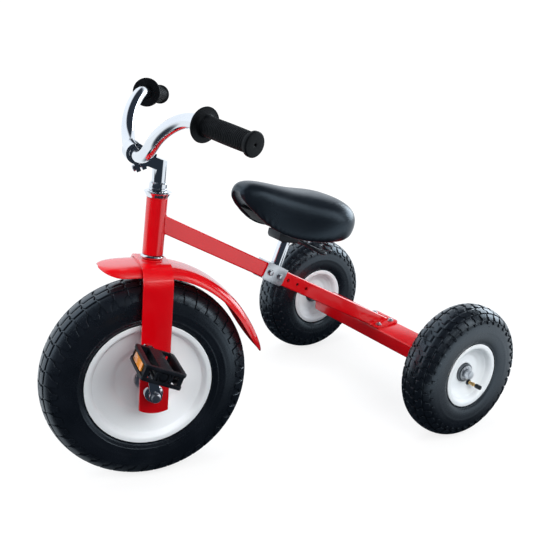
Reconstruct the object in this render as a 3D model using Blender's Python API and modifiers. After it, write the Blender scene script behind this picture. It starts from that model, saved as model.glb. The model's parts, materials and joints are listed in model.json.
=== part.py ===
# Child's pedal tricycle with pneumatic tyres, at its real size, in metres, +Z up.
# It faces -Y, and +X is the rider's left. The origin lies on the ground under the middle of the
# front wheel. The steering stands as the tricycle was set down, turned a little to the right.

import math

import bmesh
import bpy
from mathutils import Matrix, Vector

MM = 0.001
GAP = 0.3 * MM  # between pieces that touch
LEFT = 1
RIGHT = -1
SIDES = ((LEFT, "left"), (RIGHT, "right"))

# Stance
WHEELBASE = 544.8 * MM
REAR_TRACK = 471.6 * MM
HEAD_TILT = math.radians(8.5)  # steering axis from upright, top leaning back
STEER_ANGLE = math.radians(-14.9)  # as it stands, from straight ahead
FORK_OFFSET = 4.2 * MM  # wheel centre behind the steering axis
CONTACT_FLAT = 0.5 * MM  # how far the tread is pressed flat on the ground

# Front tyre and rim
FRONT_TYRE_RADIUS = 181.8 * MM
FRONT_TYRE_WIDTH = 87.2 * MM
FRONT_TYRE_SHOULDER = 42.6 * MM  # tread down to the widest point
FRONT_LIP_RADIUS = 111.8 * MM
FRONT_RIM_WIDTH = 76.0 * MM  # over the lips
FRONT_SEAT_RADIUS = 101.5 * MM
FRONT_DISH_RADIUS = 64.0 * MM
FRONT_DISH_DEPTH = 24.0 * MM  # lip plane down to the dish
FRONT_HUB_RADIUS = 20.0 * MM
HUB_CLEARANCE = 2.5 * MM  # fork blade to the hub's end
FRONT_BOSS_RADIUS = 13.0 * MM

# Rear tyres and rims
REAR_TYRE_RADIUS = 130.5 * MM
REAR_TYRE_WIDTH = 76.4 * MM
REAR_TYRE_SHOULDER = 34.8 * MM
REAR_LIP_RADIUS = 64.0 * MM
REAR_RIM_WIDTH = 65.8 * MM
REAR_SEAT_RADIUS = 54.5 * MM
REAR_DISH_RADIUS = 43.0 * MM
REAR_DISH_DEPTH = 20.0 * MM
REAR_HUB_RADIUS = 18.0 * MM
REAR_HUB_OUTER = 18.0 * MM  # hub's outer face from the wheel's mid-plane
REAR_BOSS_RADIUS = 12.0 * MM

# What both kinds of wheel share
TYRE_WALL = 6.0 * MM
TREAD_WALL = 9.0 * MM
TREAD_SQUARENESS = 2.2  # 2 is a round tread, more is a squarer one
TREAD_FLAT_SHARE = 0.20  # part of the width that is level across the crown
LUG_HEIGHT = 2.2 * MM
LUG_EDGE = 1.6 * MM
BEAD_WIDTH = 11.0 * MM
RIM_SHEET = 2.4 * MM
VALVE_RADIUS = 2.6 * MM
VALVE_LENGTH = 24.0 * MM
VALVE_CAP_RADIUS = 3.6 * MM
VALVE_CAP_LENGTH = 11.0 * MM

# Head tube and headset
HEAD_TUBE_RADIUS = 17.6 * MM
HEAD_TUBE_BORE = 15.0 * MM
HEAD_TUBE_LENGTH = 96.5 * MM
CROWN_SEAT = 1.5 * MM  # fork crown to the lower cup
LOWER_CUP_RADIUS = 20.0 * MM
LOWER_CUP_HEIGHT = 8.0 * MM
UPPER_CUP_RADIUS = 23.2 * MM
UPPER_CUP_HEIGHT = 12.0 * MM
LOCKNUT_RADIUS = 14.6 * MM
LOCKNUT_HEIGHT = 13.0 * MM
STEERER_RADIUS = 12.7 * MM
STEERER_BORE = 11.2 * MM

# Fork, one bent flat strap
STRAP_WIDTH = 50.2 * MM
STRAP_THICKNESS = 5.0 * MM
FORK_HALF_WIDTH = 62.5 * MM  # centre plane to the outer face of a blade
FORK_SHOULDER_RADIUS = 38.0 * MM  # outer
CROWN_CLEARANCE = 32.7 * MM  # tread to the crown's top face
BLADE_DROP = 36.0 * MM  # axle down to the corners of a blade's end
BLADE_END_BULGE = 6.0 * MM
BLADE_LEAN = math.radians(2.4)  # the blades run back a little, going down
BEARING_CUP_RADIUS = 17.2 * MM
BEARING_CUP_LENGTH = 13.0 * MM
BEARING_SPIGOT_RADIUS = 10.5 * MM

# Front axle, cranks and pedals
AXLE_RADIUS = 7.0 * MM
CRANK_LENGTH = 86.0 * MM
CRANK_LEAN = math.radians(12.3)  # left crank, ahead of straight up
CRANK_EYE_RADIUS = 11.0 * MM
CRANK_ARM_HALF_WIDTH = 7.0 * MM
CRANK_THICKNESS = 12.0 * MM
CRANK_BOLT_RADIUS = 8.4 * MM
CRANK_BOLT_HEIGHT = 7.0 * MM
PEDAL_LENGTH = 68.6 * MM
PEDAL_WIDTH = 88.0 * MM
PEDAL_THICKNESS = 26.0 * MM
PEDAL_CLEARANCE = 19.0 * MM  # crank to pedal
PEDAL_PITCH = math.radians(-18.1)  # the pedals' tops fall to the rear
PEDAL_RAIL = 8.0 * MM  # front and rear tread bars
PEDAL_END_WALL = 6.0 * MM
PEDAL_FLANGE = 5.0 * MM  # upper and lower plates of the cage
PEDAL_BARREL_RADIUS = 11.0 * MM
SPINDLE_RADIUS = 5.5 * MM
SPINDLE_COLLAR_RADIUS = 8.0 * MM
REFLECTOR_THICKNESS = 3.0 * MM
REFLECTOR_HEIGHT = 13.0 * MM
REFLECTOR_WIDTH = 50.0 * MM

# Front mudguard, angles from straight above the axle
GUARD_CLEARANCE = 0.5 * MM  # below the fork's crown
GUARD_HALF_WIDTH = 43.0 * MM
GUARD_SKIRT = 15.0 * MM
GUARD_SHEET = 1.5 * MM
GUARD_FRONT_ANGLE = math.radians(-24.2)
GUARD_REAR_ANGLE = math.radians(78.0)
GUARD_FRONT_ROUNDING = 42.0 * MM
GUARD_REAR_ROUNDING = 75.0 * MM
GUARD_RISE = 12.0 * MM  # how far both tips stand off the wheel's round

# Stem and handlebar
STEM_RADIUS = 11.1 * MM
STEM_RISE = 42.5 * MM  # locknut to the stem's top
STEM_TOP_FALL = 7.0 * MM
STEM_REACH = 43.6 * MM
BAR_RISE = 4.5 * MM  # stem's top to the middle of the bar
BAR_RADIUS = 11.1 * MM
BAR_TWIST = math.radians(-1.1)  # how far the stem was set off the wheel's line
CLAMP_WALL = 5.5 * MM
CLAMP_WIDTH = 40.0 * MM
CLAMP_SLIT = 3.0 * MM
CLAMP_TURN = math.radians(25.0)  # the clamp's lug points down and this much back
# Bend points of the left half of the bar: out, back from the clamp, up from the clamp
BAR_BENDS = (
    (22.0 * MM, 0.0 * MM, 0.0 * MM),
    (38.0 * MM, 0.0 * MM, 0.0 * MM),
    (56.0 * MM, 1.5 * MM, 2.0 * MM),
    (88.7 * MM, 4.0 * MM, 13.4 * MM),
    (118.0 * MM, 7.7 * MM, 42.5 * MM),
    (150.8 * MM, 23.9 * MM, 68.1 * MM),
    (177.9 * MM, 39.9 * MM, 79.8 * MM),
)
GRIP_START = (204.5 * MM, 53.4 * MM, 77.0 * MM)
GRIP_SWEEP = math.radians(26.7)
GRIP_DROP = math.radians(5.4)
GRIP_LENGTH = 104.0 * MM
GRIP_RADIUS = 14.7 * MM
GRIP_FLANGE_RADIUS = 26.0 * MM
GRIP_FLANGE_THICKNESS = 4.5 * MM
GRIP_END_RADIUS = 18.0 * MM
GRIP_END_THICKNESS = 7.0 * MM

# Main tube, square, from the head tube down to the axle beam
TUBE_SIZE = 28.6 * MM
TUBE_WALL = 1.8 * MM
TUBE_JOINT_RISE = 8.85 * MM  # where the centre lines meet, above the head tube's middle
TUBE_FOOT_SINK = 3.6 * MM  # its centre line below the flange's top, at the rear axle
SEAT_HOLE_PITCH = 25.3 * MM
SEAT_HOLE_RADIUS = 3.2 * MM
SEAT_HOLE_COUNT = 5
SEAT_FIRST_HOLE = 337.0 * MM  # along the tube, up from the rear axle

# Rear beam, flange and axle
BEAM_DEPTH = 56.0 * MM
BEAM_HEIGHT = 30.4 * MM
BEAM_WALL = 2.0 * MM
BEAM_LENGTH = 349.0 * MM
FLANGE_WIDTH = 72.0 * MM
FLANGE_DEPTH = 60.0 * MM
FLANGE_THICKNESS = 3.5 * MM
FLANGE_CORNER = 6.0 * MM
FLANGE_BOLT_X = 25.0 * MM
FLANGE_BOLT_Y = 17.0 * MM
FLANGE_BOLT_RADIUS = 3.0 * MM
REAR_AXLE_RADIUS = 7.9 * MM
REAR_AXLE_END = 14.0 * MM  # beyond the hub
COTTER_WIRE = 1.3 * MM

# Seat bracket, post and saddle
BRACKET_LENGTH = 50.0 * MM
BRACKET_WALL = 2.6 * MM
BRACKET_DROP = 34.0 * MM
BRACKET_CORNER = 6.0 * MM
SEAT_BOLT_RADIUS = 3.0 * MM
POST_RADIUS = 11.0 * MM
POST_SET_BACK = 6.0 * MM  # behind the bracket's middle
POST_LENGTH = 58.0 * MM
POST_TRIM = 4.0 * MM  # cut away where it stands on the bracket
POST_LEAN = math.radians(24.0)
SADDLE_TILT = math.radians(17.0)  # nose up
SADDLE_ABOVE_POST = 0.2 * MM  # saddle's reference point, up the post from its top
SADDLE_FORWARD = 6.0 * MM  # and ahead of its centre line
# Stations along the saddle: position, half width, top, bottom
SADDLE_STATIONS = (
    (-128.0 * MM, 15.0 * MM, 77.0 * MM, 62.0 * MM),
    (-118.0 * MM, 29.0 * MM, 88.0 * MM, 52.0 * MM),
    (-94.0 * MM, 38.0 * MM, 93.0 * MM, 35.0 * MM),
    (-58.0 * MM, 46.0 * MM, 92.5 * MM, 15.0 * MM),
    (-15.0 * MM, 58.0 * MM, 90.5 * MM, 6.0 * MM),
    (28.0 * MM, 74.0 * MM, 93.0 * MM, 8.0 * MM),
    (68.0 * MM, 83.0 * MM, 94.5 * MM, 15.0 * MM),
    (97.0 * MM, 76.0 * MM, 89.0 * MM, 24.0 * MM),
    (116.0 * MM, 54.0 * MM, 76.0 * MM, 40.0 * MM),
)
SADDLE_RECESS = 9.0 * MM
PAN_THICKNESS = 3.0 * MM
PAN_GAP = 1.2 * MM  # below the cushion's hollow
SEAT_CLAMP_FRONT = 24.0 * MM
SEAT_CLAMP_REAR = 22.0 * MM
SEAT_CLAMP_WIDTH = 38.0 * MM
SEAT_CLAMP_HEIGHT = 17.0 * MM
SEAT_CLAMP_RADIUS = 10.0 * MM
SPRING_BACK = 80.0 * MM
SPRING_SPREAD = 34.0 * MM
SPRING_RADIUS = 11.0 * MM
SPRING_WIRE = 1.7 * MM
SPRING_TURNS = 3.5
FRAME_WIRE = 3.2 * MM
FRAME_WIRE_DROP = 15.0 * MM  # below the saddle's reference point

ROUND_STEPS = 16
HOLE_STEPS = 10
FRONT_RIM_STEPS = 28
REAR_RIM_STEPS = 22
FRONT_TYRE_STEPS = 36
REAR_TYRE_STEPS = 28


# Materials

def new_material(name, colour, roughness, metallic=0.0):
    material = bpy.data.materials.new(name)
    material.use_nodes = True
    shader = material.node_tree.nodes["Principled BSDF"]
    shader.inputs["Base Color"].default_value = (*colour, 1.0)
    shader.inputs["Roughness"].default_value = roughness
    shader.inputs["Metallic"].default_value = metallic
    material.diffuse_color = (*colour, 1.0)
    return material


def make_materials():
    return {
        "red_paint": new_material("red_paint", (0.62, 0.0, 0.01), 0.22),
        "white_paint": new_material("white_paint", (0.85, 0.85, 0.87), 0.30),
        "chrome": new_material("chrome", (0.82, 0.83, 0.85), 0.08, 1.0),
        "zinc": new_material("zinc", (0.72, 0.75, 0.78), 0.32, 1.0),
        "dark_steel": new_material("dark_steel", (0.16, 0.17, 0.19), 0.35, 1.0),
        "tyre_rubber": new_material("tyre_rubber", (0.018, 0.020, 0.024), 0.55),
        "grip_rubber": new_material("grip_rubber", (0.014, 0.014, 0.016), 0.75),
        "black_plastic": new_material("black_plastic", (0.016, 0.017, 0.020), 0.40),
        "saddle_vinyl": new_material("saddle_vinyl", (0.020, 0.022, 0.026), 0.38),
        "amber_plastic": new_material("amber_plastic", (0.80, 0.28, 0.02), 0.20),
        "brass": new_material("brass", (0.72, 0.50, 0.22), 0.28, 1.0),
    }


# Building helpers

def clear_scene():
    for old in list(bpy.data.objects):
        bpy.data.objects.remove(old, do_unlink=True)


def new_collection(name):
    collection = bpy.data.collections.new(name)
    bpy.context.scene.collection.children.link(collection)
    return collection


def add_object(name, data, material=None, parent=None, location=(0, 0, 0), rotation=(0, 0, 0)):
    thing = bpy.data.objects.new(name, data)
    PARTS.objects.link(thing)
    if material:
        data.materials.append(MATERIALS[material])
    thing.parent = parent
    thing.location = location
    thing.rotation_euler = rotation
    return thing


def add_empty(name, location=(0, 0, 0), rotation=(0, 0, 0), parent=None):
    empty = bpy.data.objects.new(name, None)
    empty.empty_display_size = 0.05
    PARTS.objects.link(empty)
    empty.parent = parent
    empty.location = location
    empty.rotation_euler = rotation
    return empty


def mesh_from(name, build):
    shape = bmesh.new()
    build(shape)
    mesh = bpy.data.meshes.new(name)
    shape.to_mesh(mesh)
    shape.free()
    return mesh


def shade(thing, angle=35.0):
    thing.data.shade_smooth()
    thing.data.set_sharp_from_angle(angle=math.radians(angle))
    return thing


def box_mesh(name, size):
    def build(shape):
        bmesh.ops.create_cube(shape, size=1.0)
        bmesh.ops.scale(shape, vec=Vector(size), verts=shape.verts)
    return mesh_from(name, build)


def box(name, size, material, parent=None, location=(0, 0, 0), rotation=(0, 0, 0), edge=0.0):
    block = add_object(name, box_mesh(name, size), material, parent, location, rotation)
    if edge:
        add_bevel(block, edge)
    return block


def add_bevel(thing, width, segments=2, angle=35.0):
    bevel = thing.modifiers.new("rounded edges", "BEVEL")
    bevel.width = width
    bevel.segments = segments
    bevel.limit_method = "ANGLE"
    bevel.angle_limit = math.radians(angle)


def rod_mesh(name, radius, length, steps=ROUND_STEPS):
    def build(shape):
        bmesh.ops.create_cone(
            shape, cap_ends=True, segments=steps, radius1=radius, radius2=radius, depth=length
        )
    return mesh_from(name, build)


def rod(name, radius, length, material, parent=None, location=(0, 0, 0), rotation=(0, 0, 0),
        steps=ROUND_STEPS, edge=0.0):
    thing = add_object(name, rod_mesh(name, radius, length, steps), material, parent, location, rotation)
    if edge:
        add_bevel(thing, edge, 1)
    return shade(thing)


def turned(name, profile, material, parent=None, location=(0, 0, 0), rotation=(0, 0, 0),
           steps=ROUND_STEPS, closed=True):
    """Turns a profile of (radius, height) points, outer side top to bottom, round Z."""
    def build(shape):
        ring = [shape.verts.new((radius, 0, height)) for radius, height in profile]
        for first, second in zip(ring, ring[1:]):
            shape.edges.new((first, second))
        if closed:
            shape.edges.new((ring[-1], ring[0]))
    thing = add_object(name, mesh_from(name, build), material, parent, location, rotation)
    screw = thing.modifiers.new("turn", "SCREW")
    screw.steps = steps
    screw.render_steps = steps
    screw.use_merge_vertices = True
    screw.merge_threshold = 0.00005
    screw.use_smooth_shade = True
    return thing


def arc(centre, radius, start, end, count):
    """Points on a round corner, from one angle to another, in degrees."""
    points = []
    for step in range(count + 1):
        angle = math.radians(start + (end - start) * step / count)
        points.append((centre[0] + radius * math.cos(angle), centre[1] + radius * math.sin(angle)))
    return points


def circle_points(centre, radius, count=16):
    return arc(centre, radius, 0, 360 - 360 / count, count - 1)


def round_rectangle(width, height, radius, count=3):
    across = width / 2 - radius
    up = height / 2 - radius
    points = []
    for x, y, start in ((across, up, 0), (-across, up, 90), (-across, -up, 180), (across, -up, 270)):
        points += arc((x, y), radius, start, start + 90, count)
    return points


def plate(name, outlines, thickness, material, parent=None, location=(0, 0, 0), rotation=(0, 0, 0)):
    """A flat piece: the first outline is its edge, the others are holes."""
    curve = bpy.data.curves.new(name, "CURVE")
    curve.dimensions = "2D"
    curve.fill_mode = "BOTH"
    curve.extrude = thickness / 2
    for outline in outlines:
        spline = curve.splines.new("POLY")
        spline.points.add(len(outline) - 1)
        spline.use_cyclic_u = True
        for point, (x, y) in zip(spline.points, outline):
            point.co = (x, y, 0, 1)
    return curve_to_mesh(add_object(name, curve, material, parent, location, rotation))


def pipe(name, points, radius, material, parent=None, location=(0, 0, 0), rotation=(0, 0, 0),
         kind="POLY", sides=2, resolution=4, joined=False):
    curve = bpy.data.curves.new(name, "CURVE")
    curve.dimensions = "3D"
    curve.bevel_depth = radius
    curve.bevel_resolution = sides
    curve.resolution_u = resolution
    curve.use_fill_caps = True
    spline = curve.splines.new(kind)
    spline.points.add(len(points) - 1)
    spline.use_cyclic_u = joined
    for point, place in zip(spline.points, points):
        point.co = (*place, 1)
    if kind == "NURBS":
        spline.order_u = 4
        spline.use_endpoint_u = True
    return add_object(name, curve, material, parent, location, rotation)


def curve_to_mesh(thing):
    """Gives a curve object's shape to a mesh object of the same name and place."""
    bpy.context.view_layer.update()
    graph = bpy.context.evaluated_depsgraph_get()
    mesh = bpy.data.meshes.new_from_object(thing.evaluated_get(graph))
    welded = bmesh.new()
    welded.from_mesh(mesh)
    bmesh.ops.remove_doubles(welded, verts=welded.verts, dist=0.00002)
    bmesh.ops.recalc_face_normals(welded, faces=welded.faces)
    welded.to_mesh(mesh)
    welded.free()
    name = thing.name
    parent = thing.parent
    location = thing.location.copy()
    rotation = thing.rotation_euler.copy()
    bpy.data.objects.remove(thing, do_unlink=True)
    return add_object(name, mesh, None, parent, location, rotation)


def as_cutter(thing):
    PARTS.objects.unlink(thing)
    CUTTERS.objects.link(thing)
    thing.hide_render = True
    thing.display_type = "WIRE"
    return thing


def combine(thing, other, operation):
    change = thing.modifiers.new(operation.lower(), "BOOLEAN")
    change.operation = operation
    change.object = as_cutter(other)
    return thing


def cut(thing, other):
    return combine(thing, other, "DIFFERENCE")


def join(thing, other):
    return combine(thing, other, "UNION")


def axis_x():
    """Rotation that lays a piece turned round Z along X."""
    return (0, math.pi / 2, 0)


def outward(side):
    """Rotation that lays a piece's top end towards the outside on this side."""
    return (0, side * math.pi / 2, 0)


# Wheels

def tyre_profile(radius, width, shoulder, lip_radius, rim_width, seat_radius):
    """Section of a tyre: round the outside over the tread, then back through the inside."""
    half = width / 2
    middle = radius - shoulder
    bead = rim_width / 2 - RIM_SHEET - GAP
    bead_top = lip_radius + 1.2 * MM
    power = 2 / TREAD_SQUARENESS
    outside = [(bead_top, bead)]
    angle = math.radians(42)
    outside.append((middle - (middle - bead_top) * math.sin(angle), bead + (half - bead) * math.cos(angle)))
    for degrees in (0, 28, 50):
        angle = math.radians(degrees)
        outside.append((middle + shoulder * math.sin(angle) ** power, half * math.cos(angle) ** power))
    outside.append((radius - 0.4 * MM, half * TREAD_FLAT_SHARE + 3.0 * MM))
    outside.append((radius, half * TREAD_FLAT_SHARE))
    inner_half = half - TYRE_WALL
    inner_shoulder = shoulder - TREAD_WALL
    inside = []
    for degrees in (90, 25):
        angle = math.radians(degrees)
        inside.append((middle + inner_shoulder * math.sin(angle) ** power,
                       inner_half * math.cos(angle) ** power))
    inside.append((seat_radius + GAP, bead - BEAD_WIDTH))
    half_section = [(seat_radius + GAP, bead)] + outside
    mirrored = [(r, -z) for r, z in reversed(half_section)]
    return half_section + mirrored + [(r, -z) for r, z in reversed(inside[1:])] + inside


def add_tyre(name, parent, size, steps):
    """A tyre spun from its section, with a raised lug on every step of both shoulders.

    It is turned so that one step lies flat on the ground.
    """
    reach = 1 / math.cos(math.pi / steps)
    profile = [(r * reach, z) for r, z in tyre_profile(*size)]
    bpy.context.view_layer.update()
    lay = Matrix.Rotation(math.pi / 2, 3, "Y")
    down = lay.inverted() @ parent.matrix_world.to_3x3().inverted() @ Vector((0, 0, -1))
    start = Matrix.Rotation(math.atan2(down.y, down.x) - math.pi / steps, 3, "Z")

    def build(shape):
        ring = [shape.verts.new(start @ Vector((r, 0, z))) for r, z in profile]
        edges = [shape.edges.new(pair) for pair in zip(ring, ring[1:] + ring[:1])]
        spun = ring + edges
        bmesh.ops.spin(shape, geom=spun, cent=(0, 0, 0), axis=(0, 0, 1), angle=2 * math.pi, steps=steps)
        bmesh.ops.remove_doubles(shape, verts=shape.verts, dist=0.00002)
        bmesh.ops.recalc_face_normals(shape, faces=shape.faces)
        lugs = [face for face in shape.faces if is_shoulder(face, profile)]
        bmesh.ops.inset_individual(shape, faces=lugs, thickness=LUG_EDGE, depth=LUG_HEIGHT)
        for face in shape.faces:
            face.smooth = True
    tyre = add_object(name, mesh_from(name, build), "tyre_rubber", parent, (0, 0, 0), axis_x())
    tyre.data.set_sharp_from_angle(angle=math.radians(30))
    return cut(tyre, add_ground(name + "_ground"))


def is_shoulder(face, profile):
    """True for the faces between the third and the fourth point out from the sidewall's bulge."""
    middle = face.calc_center_median()
    radius = math.hypot(middle.x, middle.y)
    first, last = profile[4], profile[5]
    half_radius = (first[0] + last[0]) / 2
    half_height = (first[1] + last[1]) / 2
    return abs(abs(middle.z) - half_height) < 1.0 * MM and abs(radius - half_radius) < 3.0 * MM


def rim_profile(lip_radius, rim_width, seat_radius, dish_radius, dish_depth, hub_radius):
    """Section of a pressed wheel: barrel, rolled lips, and a dished disc on each side."""
    lip = rim_width / 2
    sheet = RIM_SHEET
    seat = seat_radius - GAP
    step = lip - 9.0 * MM
    dish = lip - dish_depth
    bore = hub_radius + GAP
    face = [
        (seat, lip - sheet),
        (lip_radius - 0.6 * MM, lip - sheet),
        (lip_radius - 0.6 * MM, lip),
        (seat - 1.0 * MM, lip - 1.2 * MM),
        (seat - 5.0 * MM, step),
        (dish_radius, dish + 5.0 * MM),
        (dish_radius - 8.0 * MM, dish),
        (bore, dish),
        (bore, dish - sheet),
        (dish_radius - 7.0 * MM, dish - sheet),
        (seat - sheet, step - 4.0 * MM),
    ]
    other = [(r, -z) for r, z in reversed(face)]
    return list(reversed(face + other))


def add_valve(name, parent, seat, radius_out, side):
    """A valve stem that stands out of the disc beside the hub, with its cap."""
    stem_end = seat + VALVE_LENGTH
    cap_end = stem_end + VALVE_CAP_LENGTH * 0.6
    profile = [
        (0, cap_end),
        (VALVE_CAP_RADIUS, cap_end),
        (VALVE_CAP_RADIUS, cap_end - VALVE_CAP_LENGTH),
        (VALVE_RADIUS, cap_end - VALVE_CAP_LENGTH),
        (VALVE_RADIUS, seat + 3.0 * MM),
        (VALVE_RADIUS + 1.8 * MM, seat + 2.0 * MM),
        (VALVE_RADIUS + 1.8 * MM, seat),
        (0, seat),
    ]
    turn = outward(side)
    return turned(name, profile, "brass", parent, radius_out, turn, 12, closed=False)


def hub_profile(outer, inner, radius, boss_radius, barrel, bore):
    """Section of a hub: a barrel between the discs and a thinner boss that reaches inwards."""
    return [
        (radius, outer),
        (radius, -barrel),
        (boss_radius, -barrel - 3.0 * MM),
        (boss_radius, -inner),
        (bore, -inner),
        (bore, outer),
    ]


def add_front_wheel(axle):
    size = (FRONT_TYRE_RADIUS, FRONT_TYRE_WIDTH, FRONT_TYRE_SHOULDER, FRONT_LIP_RADIUS, FRONT_RIM_WIDTH,
            FRONT_SEAT_RADIUS)
    add_tyre("front_tyre", axle, size, FRONT_TYRE_STEPS)
    rim = rim_profile(FRONT_LIP_RADIUS, FRONT_RIM_WIDTH, FRONT_SEAT_RADIUS, FRONT_DISH_RADIUS,
                      FRONT_DISH_DEPTH, FRONT_HUB_RADIUS)
    turned("front_rim", rim, "white_paint", axle, (0, 0, 0), axis_x(), FRONT_RIM_STEPS)
    half = FRONT_HUB_LENGTH / 2
    barrel = FRONT_RIM_WIDTH / 2 - FRONT_DISH_DEPTH + 4.0 * MM
    one_end = hub_profile(0, half, FRONT_HUB_RADIUS, FRONT_BOSS_RADIUS, barrel, AXLE_RADIUS + GAP)[1:-1]
    hub = [(r, -z) for r, z in reversed(one_end[:-1])] + one_end[:-1]
    hub += [(AXLE_RADIUS + GAP, -half), (AXLE_RADIUS + GAP, half)]
    turned("front_hub", hub, "zinc", axle, (0, 0, 0), axis_x())
    dish = FRONT_RIM_WIDTH / 2 - FRONT_DISH_DEPTH
    place = (0, 0, 0.5 * (FRONT_HUB_RADIUS + FRONT_DISH_RADIUS - 8.0 * MM))
    add_valve("front_valve", axle, dish + GAP, place, RIGHT)


def add_rear_wheel(side, word):
    spin = add_empty("rear_axle_" + word, (side * REAR_TRACK / 2, WHEELBASE, REAR_AXLE_HEIGHT))
    size = (REAR_TYRE_RADIUS, REAR_TYRE_WIDTH, REAR_TYRE_SHOULDER, REAR_LIP_RADIUS, REAR_RIM_WIDTH,
            REAR_SEAT_RADIUS)
    add_tyre("rear_tyre_" + word, spin, size, REAR_TYRE_STEPS)
    rim = rim_profile(REAR_LIP_RADIUS, REAR_RIM_WIDTH, REAR_SEAT_RADIUS, REAR_DISH_RADIUS,
                      REAR_DISH_DEPTH, REAR_HUB_RADIUS)
    turned("rear_rim_" + word, rim, "white_paint", spin, (0, 0, 0), axis_x(), REAR_RIM_STEPS)
    dish = REAR_RIM_WIDTH / 2 - REAR_DISH_DEPTH
    inner = REAR_TRACK / 2 - BEAM_LENGTH / 2 - 2 * GAP
    hub = hub_profile(REAR_HUB_OUTER, inner, REAR_HUB_RADIUS, REAR_BOSS_RADIUS, dish + 4.0 * MM,
                      REAR_AXLE_RADIUS + GAP)
    turned("rear_hub_" + word, hub, "dark_steel", spin, (0, 0, 0), outward(side))
    out = 0.5 * (REAR_HUB_RADIUS + REAR_DISH_RADIUS)
    place = (0, 0.5 * out, -0.85 * out)
    add_valve("rear_valve_" + word, spin, dish + GAP, place, side)


def add_ground(name):
    """A block whose top is the ground, which presses a tyre's tread flat."""
    size = (3 * REAR_TRACK, 3 * WHEELBASE, WHEELBASE)
    return box(name, size, None, None, (0, WHEELBASE / 2, -WHEELBASE / 2))


# Fork, mudguard and front axle

def fork_outline(offset):
    """Half of the strap's bent line, from a blade's end up to the crown, drawn inside the outer face."""
    half = FORK_HALF_WIDTH - offset
    top = FORK_CROWN_HEIGHT - offset
    radius = FORK_SHOULDER_RADIUS - offset
    return [(half, -BLADE_DROP - BLADE_END_BULGE - 4.0 * MM)] + arc((half - radius, top - radius), radius, 0, 90, 6)


def add_fork(steering):
    outer = fork_outline(0)
    inner = fork_outline(STRAP_THICKNESS)
    outline = outer + [(-x, z) for x, z in reversed(outer)] + [(-x, z) for x, z in inner]
    outline += list(reversed(inner))
    fork = plate("fork", [outline], STRAP_WIDTH, "red_paint", steering, (0, 0, 0), (math.pi / 2, 0, 0))
    shear_blades(fork.data)
    add_bevel(fork, 1.2 * MM, 1, 60.0)
    steerer_base = FORK_CROWN_HEIGHT - STRAP_THICKNESS
    steerer_top = UPPER_CUP_TOP + LOCKNUT_HEIGHT - 2.0 * MM
    length = steerer_top - steerer_base
    join(fork, rod("steerer", STEERER_RADIUS, length, None, steering, (0, 0, steerer_base + length / 2)))
    cut(fork, rod("steerer_bore", STEERER_BORE, 2 * length, None, steering, (0, 0, steerer_top)))
    for side, word in SIDES:
        place = (side * FORK_HALF_WIDTH, FORK_OFFSET, 0)
        cut(fork, rod("bearing_hole_" + word, BEARING_SPIGOT_RADIUS + GAP, 30 * MM, None, steering, place,
                      (0, math.pi / 2, 0)))
    trim = plate("blade_trim", [blade_end_trim()], 4 * FORK_HALF_WIDTH, None, steering, (0, 0, 0),
                 (math.pi / 2, 0, math.pi / 2))
    cut(fork, trim)
    return fork


def shear_blades(mesh):
    """Runs the blades back towards their ends and leaves the crown square to the steering axis."""
    shoulder = FORK_CROWN_HEIGHT - FORK_SHOULDER_RADIUS
    for vertex in mesh.vertices:
        drop = max(0.0, shoulder - vertex.co.y)
        vertex.co.z -= drop * math.tan(BLADE_LEAN)


def blade_back(height):
    """How far the middle of a blade stands behind the steering axis at this height."""
    return (FORK_CROWN_HEIGHT - FORK_SHOULDER_RADIUS - height) * math.tan(BLADE_LEAN)


def blade_end_trim():
    """The space below a blade's bulged end, as (back, up) points."""
    half = STRAP_WIDTH / 2
    radius = (half ** 2 + BLADE_END_BULGE ** 2) / (2 * BLADE_END_BULGE)
    middle = blade_back(-BLADE_DROP)
    centre = (middle, -BLADE_DROP - BLADE_END_BULGE + radius)
    spread = math.degrees(math.asin(half / radius)) + 4
    edge = arc(centre, radius, 270 - spread, 270 + spread, 12)
    low = -BLADE_DROP - 40 * MM
    return [(middle - 60 * MM, low), (middle - 60 * MM, -BLADE_DROP)] + edge + [
        (middle + 60 * MM, -BLADE_DROP), (middle + 60 * MM, low)]


def guard_width_at(along, length):
    """Half width of the mudguard at a distance along it: round at both ends."""
    front = min(1.0, along / GUARD_FRONT_ROUNDING)
    rear = min(1.0, (length - along) / GUARD_REAR_ROUNDING)
    ends = math.sqrt(max(0.0, 1 - (1 - front) ** 2.8)) * math.sqrt(max(0.0, 1 - (1 - rear) ** 2.2))
    return GUARD_HALF_WIDTH * max(0.16, ends)


def guard_stations(length):
    """Places along the mudguard, closer together where its ends are rounded."""
    front = [GUARD_FRONT_ROUNDING * (1 - math.cos(math.radians(a))) for a in (0, 22, 40, 58, 74)]
    rear = [length - GUARD_REAR_ROUNDING * (1 - math.cos(math.radians(a))) for a in (72, 55, 38, 21, 0)]
    count = 11
    start = GUARD_FRONT_ROUNDING
    step = (length - GUARD_REAR_ROUNDING - start) / (count - 1)
    return front + [start + step * index for index in range(count)] + rear


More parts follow.
